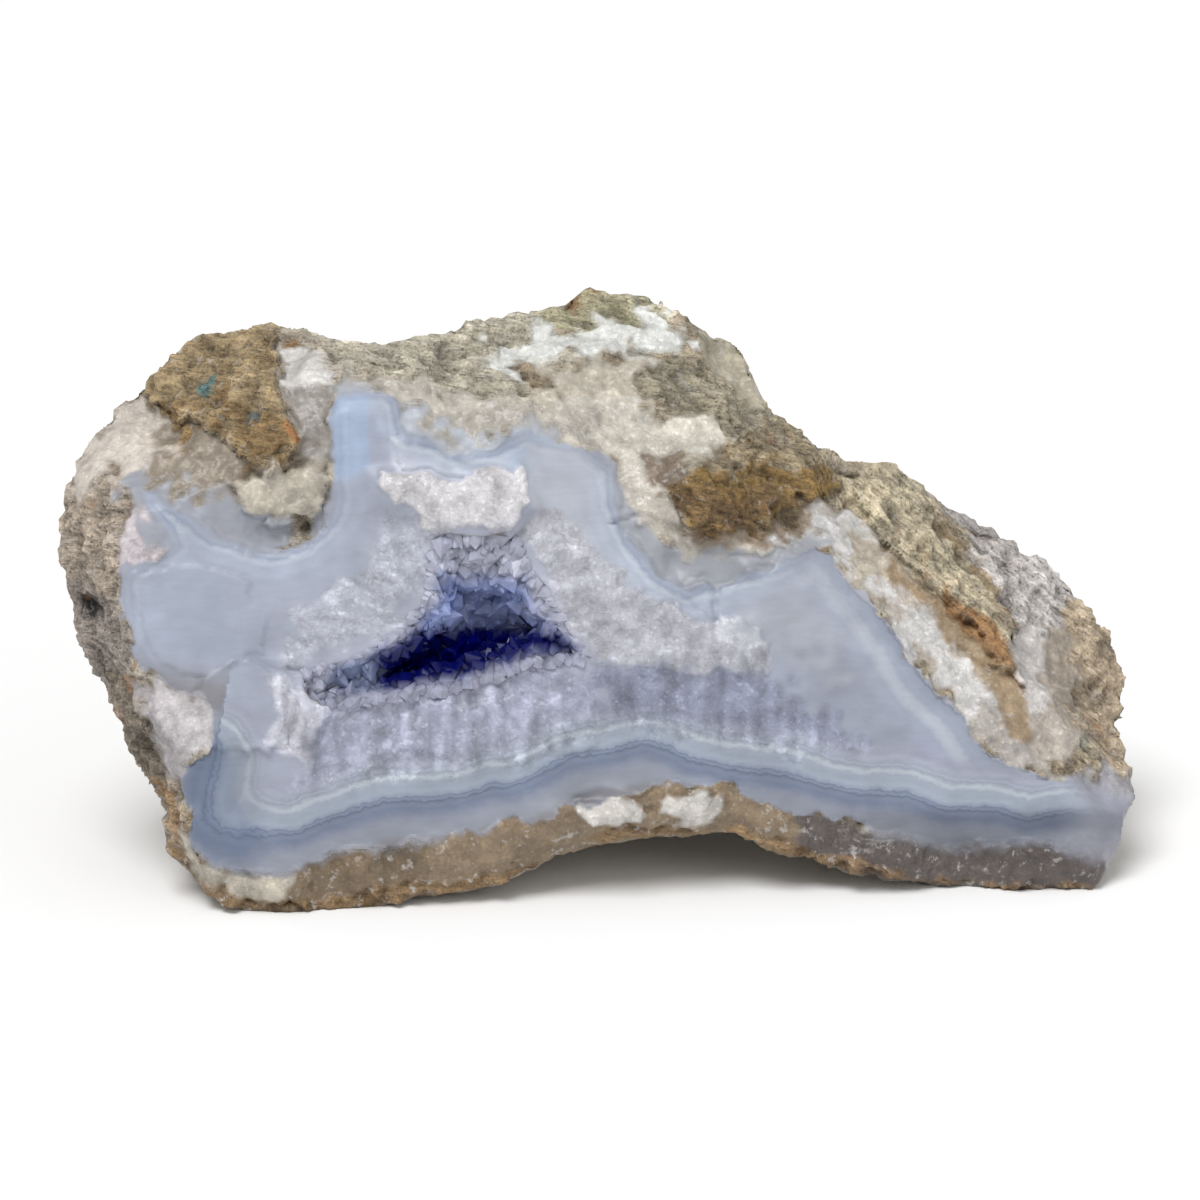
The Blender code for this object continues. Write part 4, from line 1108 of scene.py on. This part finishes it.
def thinStone(made):
    total = countTriangles(made.data)
    if total > stone["mostTriangles"]:
        _, facing = readSurface(made.data)
        weigh(made, "plain", 1 - stone["backShare"] * fade(facing[:, 1], *stone["facings"]["face"]))
        thinner = made.modifiers.new("thin", "DECIMATE")
        thinner.ratio = stone["mostTriangles"] / total
        thinner.vertex_group = "plain"
        thinner.vertex_group_factor = stone["thinFactor"]
        settle(made)
    made.vertex_groups.clear()
    place = np.empty(len(made.data.vertices) * 3)
    made.data.vertices.foreach_get("co", place)
    place[2::3] = place[2::3].clip(0, None)  # nothing reaches below the shelf
    made.data.vertices.foreach_set("co", place)
    made.data.update()
    print("stone triangles:", total, "then", countTriangles(made.data))


def bandedColour(shader, place):
    # bands along the border, the right slope and the foot, with a fine wobble of their own
    wobble = shader.tone(place, "band wobble")
    line = shader.reckon("ADD", shader.attribute("line"), wobble)
    border = shader.reckon("ADD", shader.attribute("border"), wobble)
    colour = shader.attribute("tint", "Color")
    colour = shader.mix(shader.attribute("rimShare"), colour, shader.bands(border, rimBands))
    colour = shader.mix(shader.attribute("slopeShare"), colour, shader.bands(border, slopeBands))
    return shader.mix(shader.attribute("footShare"), colour, shader.bands(line, footBands))


def agateTone(shader, place):
    # faint clouds and scratches
    drawnOut = shader.vector("MULTIPLY", place, stone["scratchStretch"])[0]
    return shader.product(shader.tone(place, "agate clouds"), shader.tone(drawnOut, "scratches"))


def quartzFinish(shader, place):
    # milky and clear cells, facets of three sizes and a few bright glints: tone and height
    tone = shader.tone(place, "milky quartz")
    height = 0.0
    for scale, tall, contrast in stone["facets"]:
        slant, cell = shader.facets(place, scale)
        tone = shader.product(tone, shader.spread(cell, 0.0, 1.0, 1 - contrast, 1 + contrast))
        height = shader.reckon("ADD", height, shader.product(slant, tall))
    return shader.reckon("ADD", tone, shader.spread(cell, *stone["glints"])), height


def rockFinish(shader, place):
    # beds, dark and light grains, cracks, pits and dents: tone, height of the beds, and the grains
    beds = shader.attribute("bedding", "Vector")
    strataGrain, strataTone = stone["grains"]["strata"]
    strata = shader.grain(beds, *strataGrain)
    rockGrain, rockTone = stone["grains"]["rock grains"]
    grains = shader.grain(place, *rockGrain)
    crackGrain, crackTone = stone["grains"]["cracks"]
    fromMiddle = shader.reckon("SUBTRACT", shader.grain(beds, *crackGrain), 0.5)
    cracks = shader.spread(shader.reckon("ABSOLUTE", fromMiddle, 0.0), *crackTone)
    pits = shader.cells(place, stone["pitsToMetre"])["Distance"]
    tone = shader.product(
        shader.spread(strata, *strataTone), shader.spread(grains, *rockTone), cracks,
        shader.spread(pits, *stone["pitTone"]), shader.tone(place, "dents"),
    )
    bedHeight = shader.product(strata, stone["strataHeight"])
    height = shader.reckon("ADD", bedHeight, shader.product(cracks, stone["crackHeight"]))
    return tone, height, grains


def flecksAndRust(shader, place, colour, rock, quartz):
    # pale flecks on the quartz of the rind and on the rock, rust on the rock alone
    onQuartz = shader.reckon("SUBTRACT", quartz, shader.attribute("inAgate"))
    onBoth = shader.reckon("ADD", onQuartz, shader.product(rock, stone["flecksOnRock"]))
    share = shader.reckon("MAXIMUM", shader.product(shader.tone(place, "flecks"), onBoth), 0.0)
    colour = shader.mix(share, colour, solid(stone["fleckColour"]))
    rust = shader.product(shader.tone(place, "rust"), rock)
    return shader.mix(rust, colour, solid(stone["rustColour"]))


def stoneMaterial():
    shader = Shader("banded agate and rind")
    place = shader.objectPlace()
    rock = shader.attribute("rock")
    quartz = shader.attribute("quartz")
    rockTone, rockHeight, grains = rockFinish(shader, place)
    quartzTone, quartzHeight = quartzFinish(shader, place)
    tone = shader.mixValue(quartz, agateTone(shader, place), quartzTone)
    tone = shader.mixValue(rock, tone, rockTone)
    tone = shader.product(tone, shader.attribute("uneven"))
    colour = shader.toned(bandedColour(shader, place), tone)
    colour = flecksAndRust(shader, place, colour, rock, quartz)
    shader.feed(shader.main.inputs["Base Color"], colour)

    roughness = shader.mixValue(quartz, stone["agateRoughness"], stone["quartzRoughness"])
    roughness = shader.mixValue(rock, roughness, stone["rockRoughness"])
    shader.feed(shader.main.inputs["Roughness"], roughness)

    height = shader.product(grains, shader.spread(rock, 0.0, 1.0, *stone["grainHeight"]))
    height = shader.reckon("ADD", height, shader.product(rockHeight, rock))
    height = shader.reckon("ADD", height, shader.product(quartzHeight, quartz))
    bump = {
        "Strength": stone["bumpStrength"],
        "Distance": stone["bumpHeight"] * mm,
        "Height": height,
    }
    shader.feed(shader.main.inputs["Normal"], shader.add("ShaderNodeBump", bump).outputs[0])
    return shader.material


def makeStone():
    made = fineSurface()
    shapeStone(made)
    thinStone(made)
    made.data.materials.clear()
    made.data.materials.append(stoneMaterial())
    made.data.shade_smooth()
    handOver(made, "geode")


druse = {
    "finish": "druse_quartz",
    "randomStart": 7,
    "pointsPerSquare": 0.5,  # quartz points on a square millimetre of wall
    "radius": (1.1, 2.1),
    "tall": (0.15, 0.5),  # length of the prism against its radius
    "tipHeight": (0.7, 1.3),
    "tilt": 0.45,
    "sink": 0.55,
    "leastRoom": 0.7,
    "openRoom": 1000.0,  # room in front of a point that faces out of the hollow
    "reach": 0.3,  # a point is at most this share of its room thick
    "farOutside": 6.0,
    "curtainStep": 1.2,
    "curtainShift": 0.5,
    "curtainOutside": 0.6,
    "curtainOverDark": 0.2,
    "curtainRadius": (1.5, 2.4),
    "curtainBody": (1.8, 2.6),
    "curtainTip": (0.5, 1.0),
    "curtainDepth": 4.2,
    "curtainUneven": 0.4,
    "curtainFall": (2.5, 0.5),  # deeper within this distance of the dark, and by how much
    "curtainInward": 0.8,
    "curtainOutward": -0.9,
    "wayUneven": 0.25,
    "edgeStep": 0.9,
    "edgeFrom": -40.0,
    "edgeOutward": -0.4,
    "edgeEndWay": (0.2, -1.0, 0.1),  # the way the points at the left end look
    "edgeOutside": (0.1, 0.9),
    "edgeDepth": (0.3, 1.4),
    "edgeRadius": (0.8, 1.6),
    "edgeBody": (0.6, 1.6),
    "lipStep": 1.3,
    "lipShift": (0.3, 0.35, 0.3),  # how unevenly the rows stand: along, up and in depth
    "lipSideways": 0.3,
    "lipOutward": (-0.55, -0.1),
    "lipRadius": (0.8, 1.5),
    "lipBody": (0.5, 1.3),
    "lipRows": ((1.8, 0.8), (1.5, 1.8), (1.7, 3.2), (1.8, 5.0)),  # how low and how deep each row stands
    "tone": (0.88, 1.1),
    "sides": 6,
    "taper": 0.8,
    "tipLean": 0.25,
    "pointsAtOnce": 40,
    "rippleNoise": (3.0, 51.0),
    "ripple": 0.5,
    "darkEdge": 1.6,
    # painted shade: points this far behind the face, and below lowDark, are painted slate and near-black
    # indigo
    "deepDark": (7.0, 10.0),
    "lowDark": (43.0, 41.8),
    "lowRipple": 2,
    "leftEndEdge": 1.2,
    "lowerLipWidth": (1.6, 0.8),
    # painted light: depths over which the slate and indigo are painted brighter
    "slateLitDepth": (6.0, 14.0),
    "indigoLitDepth": (7.0, 16.0),
    "pale": (172, 174, 190),
    "leftEnd": (112, 122, 152),
    "slate": (138, 151, 196),
    "lowerLip": (158, 160, 178),
    # painted light: brighter slate and indigo for the deepest points, against the hollow's shade
    "litDeepSlate": (176, 190, 236),
    # painted shade: a near-black indigo for the low dark of the hollow, over a blue tint
    "indigo": (4, 10, 84),
    "litDeepIndigo": (8, 34, 240),
    "grainToMetre": 700.0,
    "grainTone": (0.3, 0.7, 0.8, 1.2),
    "roughness": 0.3,
    "shine": 0.3,
    "seeThrough": 0.1,
    "lightBending": 1.54,
}

# The dark of the hollow as it is seen from the front, where the hollow's shade is painted
darkOutline = [
    (-24.2, 47.3), (-23.9, 50.4), (-20.5, 50.3), (-18.3, 50.7), (-15, 49.7), (-12, 49.7),
    (-11, 47.7), (-11.4, 45.6), (-7, 42.9), (-3.6, 39.3), (-9.2, 39), (-16.2, 36.6),
    (-23.2, 34.5), (-33.1, 33.4), (-33.8, 38.6), (-29, 41),
]

# The shaded left end of the hollow
leftEndOutline = [
    (-41.5, 34.2), (-40, 36.4), (-34, 39), (-31, 38), (-33, 33.6), (-38, 32.6),
]

# The lower lip, from its left end to its right
lowerLip = [
    (-43, 31.6), (-37.7, 32.5), (-33.1, 33.4), (-28, 33.9), (-23.2, 34.4), (-19.5, 35.4),
    (-16.2, 36.6), (-12.5, 37.8), (-9.2, 38.9), (-3.6, 38.8),
]


def druseWall():
    # the bare wall of the hollow, in one tone
    bm = mergedCopy("crystal_crust")
    bm.normal_update()
    layer = bm.verts.layers.float.new("tone")
    for vert in bm.verts:
        vert[layer] = 1.0
    return bm


def unevenly(most, count=3):
    return np.array([random.uniform(-most, most) for _ in range(count)])


def notePoint(points, base, along, radius, body, tipHeight=druse["tipHeight"]):
    # keeps what one quartz point needs: where it stands, which way, how thick and how long
    tone = random.uniform(*druse["tone"])
    points.append((Vector(base), Vector(along), radius * mm, body * mm, random.uniform(*tipHeight), tone))


def layoutPoint(points, spot, behind, way, radius, body, tipHeight=druse["tipHeight"]):
    # the same for a spot on the face and a way to look, both as the stone faces the viewer
    base = np.array([spot[0], faceDepth(*spot) + behind, spot[1]])
    notePoint(points, toFrame(base), tipArray @ way, radius, body, tipHeight)


def addPoint(bm, base, along, radius, body, tipHeight, tone):
    # one six-sided quartz point: a short prism with a sharp tip, in a shade of its own
    way = along.to_track_quat("Z", "Y").to_matrix().to_4x4()
    stand = Matrix.Translation(base) @ way @ Matrix.Rotation(random.uniform(0, math.tau), 4, "Z")
    made = bmesh.ops.create_cone(
        bm, cap_ends=True, segments=druse["sides"], radius1=radius, radius2=radius * druse["taper"],
        depth=body, matrix=stand @ Matrix.Translation((0, 0, body / 2)),
    )["verts"]
    caps = {face for vert in made for face in vert.link_faces if len(face.verts) == druse["sides"]}
    top = max(caps, key=lambda face: (face.calc_center_median() - base).dot(along))
    peak = bmesh.ops.poke(bm, faces=[top])["verts"][0]
    lean = Vector([random.uniform(-1, 1) for _ in range(3)]) * druse["tipLean"]
    peak.co += (along + lean) * radius * tipHeight
    layer = bm.verts.layers.float["tone"]
    for vert in made + [peak]:
        vert[layer] = tone


def raisePoints(bm, points):
    # a few at a time in a mesh of their own, which is far quicker than all in one
    for start in range(0, len(points), druse["pointsAtOnce"]):
        few = bmesh.new()
        few.verts.layers.float.new("tone")
        for point in points[start:start + druse["pointsAtOnce"]]:
            addPoint(few, *point)
        mesh = meshOf("few_points", few)
        bm.from_mesh(mesh)
        bpy.data.meshes.remove(mesh)


def spotsOn(face):
    # spots strewn over one face of the wall, as many as its area asks for
    number = face.calc_area() / mm ** 2 * druse["pointsPerSquare"]
    for _ in range(int(number) + (random.random() < number % 1)):
        weights = [random.random() for _ in face.verts]
        mixed = sum((vert.co * weight for vert, weight in zip(face.verts, weights)), Vector())
        yield mixed / sum(weights)


def wallSpots(bm):
    # where points stand on the wall, the way out of it there, and how much room they have
    tree = BVHTree.FromBMesh(bm)
    found = []
    for face in bm.faces:
        centre = face.calc_center_median()
        across, _, up = toLayout(np.array(centre))
        clear = tree.ray_cast(centre + face.normal * druse["sink"] * mm, face.normal)[3]
        if clear is not None and clear < druse["leastRoom"] * mm:
            continue
        if insideBy(np.array([[across, up]]), lipOutline)[0] < -druse["farOutside"]:
            continue
        room = clear / mm if clear else druse["openRoom"]
        found += [(spot, face.normal.copy(), room) for spot in spotsOn(face)]
    return found


def deepPoints(bm, points):
    # quartz points all over the wall of the hollow, each leaning its own way
    found = wallSpots(bm)
    for base, inward, room in found:
        along = (inward + Vector(unevenly(druse["tilt"]))).normalized()
        radius = min(random.uniform(*druse["radius"]), room * druse["reach"])
        body = radius * random.uniform(*druse["tall"])
        notePoint(points, base - along * druse["sink"] * mm, along, radius, body)
    print("quartz points in the hollow:", len(found))


def towardHeart(spot):
    # the way from a spot to the middle of the dark part of the hollow
    inward = np.array(darkOutline, float).mean(axis=0) - spot
    return inward / np.hypot(*inward)


def tipped(way):
    way = np.array(way) + unevenly(druse["wayUneven"])
    return way / np.linalg.norm(way)


def curtainPoints(points):
    # large pale points between the lip and the dark of the hollow, over its roof and its left end
    corners = np.array(lipOutline, float)
    low = corners.min(axis=0)
    high = corners.max(axis=0)
    step = druse["curtainStep"]
    slack, deepening = druse["curtainFall"]
    before = len(points)
    for across in np.arange(low[0], high[0] + step, step):
        for up in np.arange(low[1], high[1] + step, step):
            spot = np.array([across, up]) + unevenly(druse["curtainShift"], 2) * step
            inLip = insideBy(spot[None], lipOutline)[0]
            inDark = insideBy(spot[None], darkOutline)[0]
            if inLip < -druse["curtainOutside"] or inDark > druse["curtainOverDark"]:
                continue
            radius = random.uniform(*druse["curtainRadius"])
            inward = towardHeart(spot) * druse["curtainInward"]
            behind = druse["curtainDepth"] + unevenly(druse["curtainUneven"], 1)[0]
            behind += max(inDark + slack, 0) * deepening
            way = tipped((inward[0], druse["curtainOutward"], inward[1]))
            body = random.uniform(*druse["curtainBody"])
            layoutPoint(points, spot, behind, way, radius, body, druse["curtainTip"])
    print("pale points over the roof:", len(points) - before)


def runAlong(corners):
    # how far along a line each of its corners is
    return np.concatenate([[0.0], np.cumsum(np.hypot(*np.diff(corners, axis=0).T))])


def spotAt(mark, run, corners):
    return np.array([np.interp(mark, run, corners[:, axis]) for axis in (0, 1)])


def edgePoints(points):
    # a ring of small points that hides where the face ends and the hollow begins
    ring = np.array(lipOutline + lipOutline[:1], float)
    run = runAlong(ring)
    for mark in np.arange(0.0, run[-1], druse["edgeStep"]):
        spot = spotAt(mark, run, ring)
        inward = towardHeart(spot)
        spot -= inward * random.uniform(*druse["edgeOutside"])
        way = (inward[0], druse["edgeOutward"], inward[1])
        if spot[0] < druse["edgeFrom"]:
            way = druse["edgeEndWay"]
        way = tipped(way)
        behind = random.uniform(*druse["edgeDepth"])
        radius = random.uniform(*druse["edgeRadius"])
        layoutPoint(points, spot, behind, way, radius, random.uniform(*druse["edgeBody"]))


def lipPoints(points):
    # rows of blunt pale points that stand along the lower lip
    line = np.array(lowerLip, float)
    run = runAlong(line)
    alongShift, upShift, depthShift = druse["lipShift"]
    sideways = druse["lipSideways"]
    for drop, behind in druse["lipRows"]:
        for mark in np.arange(0.0, run[-1], druse["lipStep"]):
            spot = spotAt(mark + random.uniform(-alongShift, alongShift), run, line)
            spot[1] += random.uniform(-upShift, upShift) - drop
            radius = random.uniform(*druse["lipRadius"])
            way = np.array([random.uniform(-sideways, sideways), random.uniform(*druse["lipOutward"]), 1.0])
            way /= np.linalg.norm(way)
            depth = behind + random.uniform(-depthShift, depthShift)
            layoutPoint(points, spot, depth, way, radius, random.uniform(*druse["lipBody"]))


def druseColours(mesh):
    # pale at the lip, slate under the roof, and in the low dark a painted shade of near-black indigo, painted
    # brighter deeper in as painted light; each point in its own tone
    place, _ = readSurface(mesh)
    flat = place[:, [0, 2]]
    behind = place[:, 1] - faceDepth(place[:, 0], place[:, 2])
    ripple = waves(place, *druse["rippleNoise"]) * druse["ripple"]
    # painted shade: where the hollow lies in shade, seen from the front or deep behind the face
    dark = rise(insideBy(flat, darkOutline) / druse["darkEdge"] + 0.5 + ripple)
    dark = np.maximum(dark, fade(behind, *druse["deepDark"]))
    low = fade(flat[:, 1] - ripple * druse["lowRipple"], *druse["lowDark"])
    leftEnd = rise(insideBy(flat, leftEndOutline) / druse["leftEndEdge"] + 0.5 + ripple)
    colours = np.tile(shade(druse["pale"]), (len(place), 1))
    blend(colours, druse["lowerLip"], fade(aboveLine(flat, lowerLip), *druse["lowerLipWidth"]))
    blend(colours, druse["leftEnd"], leftEnd)
    blend(colours, druse["slate"], dark)
    # painted light: slate painted brighter deeper in the hollow
    blend(colours, druse["litDeepSlate"], dark * fade(behind, *druse["slateLitDepth"]))
    # painted shade of near-black indigo in the low dark, painted brighter deeper in as painted light
    indigo = np.tile(shade(druse["indigo"]), (len(place), 1))
    blend(indigo, druse["litDeepIndigo"], fade(behind, *druse["indigoLitDepth"]))
    colours += (indigo - colours) * (dark * low)[:, None]
    tones = np.empty(len(mesh.vertices))
    mesh.attributes["tone"].data.foreach_get("value", tones)
    keepColours(mesh, "tint", colours * tones[:, None])


def druseMaterial():
    shader = Shader("indigo quartz points")
    grain = shader.grain(shader.objectPlace(), druse["grainToMetre"])
    tone = shader.spread(grain, *druse["grainTone"])
    shader.feed(shader.main.inputs["Base Color"], shader.toned(shader.attribute("tint", "Color"), tone))
    shader.fix({"Roughness": druse["roughness"], "Transmission Weight": druse["seeThrough"]})
    shader.fix({"Specular IOR Level": druse["shine"], "IOR": druse["lightBending"]})
    return shader.material


def makeDruse():
    random.seed(druse["randomStart"])
    bm = druseWall()
    points = []
    deepPoints(bm, points)
    curtainPoints(points)
    edgePoints(points)
    lipPoints(points)
    raisePoints(bm, points)
    made = objectOf("quartz_druse", meshOf("quartz_druse", bm))
    made.data.materials.append(druseMaterial())
    druseColours(made.data)
    handOver(made, "crystal_crust")


studio = {
    "frameWidth": 180.0,
    "pictureMiddle": (0.0, 0.0, 46.8),
    "cameraDistance": 1000.0,
    "cameraReach": (0.05, 20.0),
    "sensor": 36.0,
    "floorHalf": 6.0,
    "floorColour": (247, 247, 247),
    "floorRoughness": 0.9,
    "floorShine": 0.1,
    "skyColour": (255, 255, 255),
    "skyStrength": 0.5,
    "keyStrength": 2.1,
    "keySoftness": 35.0,
    "keyFrom": (-0.25, -0.45, 1.0),
    "fillPlace": (0.6, -0.7, 0.45),
    "fillAim": (0.0, 0.0, 0.04),
    "fillSize": 0.5,
    "fillPower": 1.0,
}


def lookAlong(made, way):
    made.rotation_euler = Vector(way).to_track_quat("-Z", "Y").to_euler()


def makeFloor():
    bm = bmesh.new()
    bmesh.ops.create_grid(bm, x_segments=1, y_segments=1, size=studio["floorHalf"])
    floor = objectOf("floor", meshOf("floor", bm))
    shader = Shader("pale floor")
    shader.fix({"Base Color": solid(studio["floorColour"])})
    shader.fix({"Roughness": studio["floorRoughness"], "Specular IOR Level": studio["floorShine"]})
    floor.data.materials.append(shader.material)


def makeLight():
    world = bpy.data.worlds.new("studio")
    world.use_nodes = True
    sky = world.node_tree.nodes["Background"]
    sky.inputs["Color"].default_value = solid(studio["skyColour"])
    sky.inputs["Strength"].default_value = studio["skyStrength"]
    bpy.context.scene.world = world
    key = bpy.data.lights.new("key light", "SUN")
    key.energy = studio["keyStrength"]
    key.angle = math.radians(studio["keySoftness"])
    lookAlong(objectOf("key light", key), -Vector(studio["keyFrom"]))
    fill = bpy.data.lights.new("fill light", "AREA")
    fill.shape = "DISK"
    fill.size = studio["fillSize"]
    fill.energy = studio["fillPower"]
    made = objectOf("fill light", fill)
    made.location = studio["fillPlace"]
    lookAlong(made, Vector(studio["fillAim"]) - Vector(studio["fillPlace"]))


def makeCamera():
    # straight at the broken face, which leans back
    camera = bpy.data.cameras.new("camera")
    camera.sensor_width = studio["sensor"]
    camera.lens = studio["sensor"] * studio["cameraDistance"] / studio["frameWidth"]
    camera.clip_start, camera.clip_end = studio["cameraReach"]
    made = objectOf("camera", camera)
    away = Vector(tipArray @ np.array((0.0, -1.0, 0.0)))
    aim = Vector(toFrame(np.array(studio["pictureMiddle"])))
    made.location = aim + away * studio["cameraDistance"] * mm
    lookAlong(made, -away)
    bpy.context.scene.camera = made
    bpy.context.scene.view_settings.view_transform = "Standard"
    print("studio done")


noise.seed_set(stone["noiseStart"])  # without it the ragged edges differ from run to run
makeStone()
makeDruse()
makeFloor()
makeLight()
makeCamera()
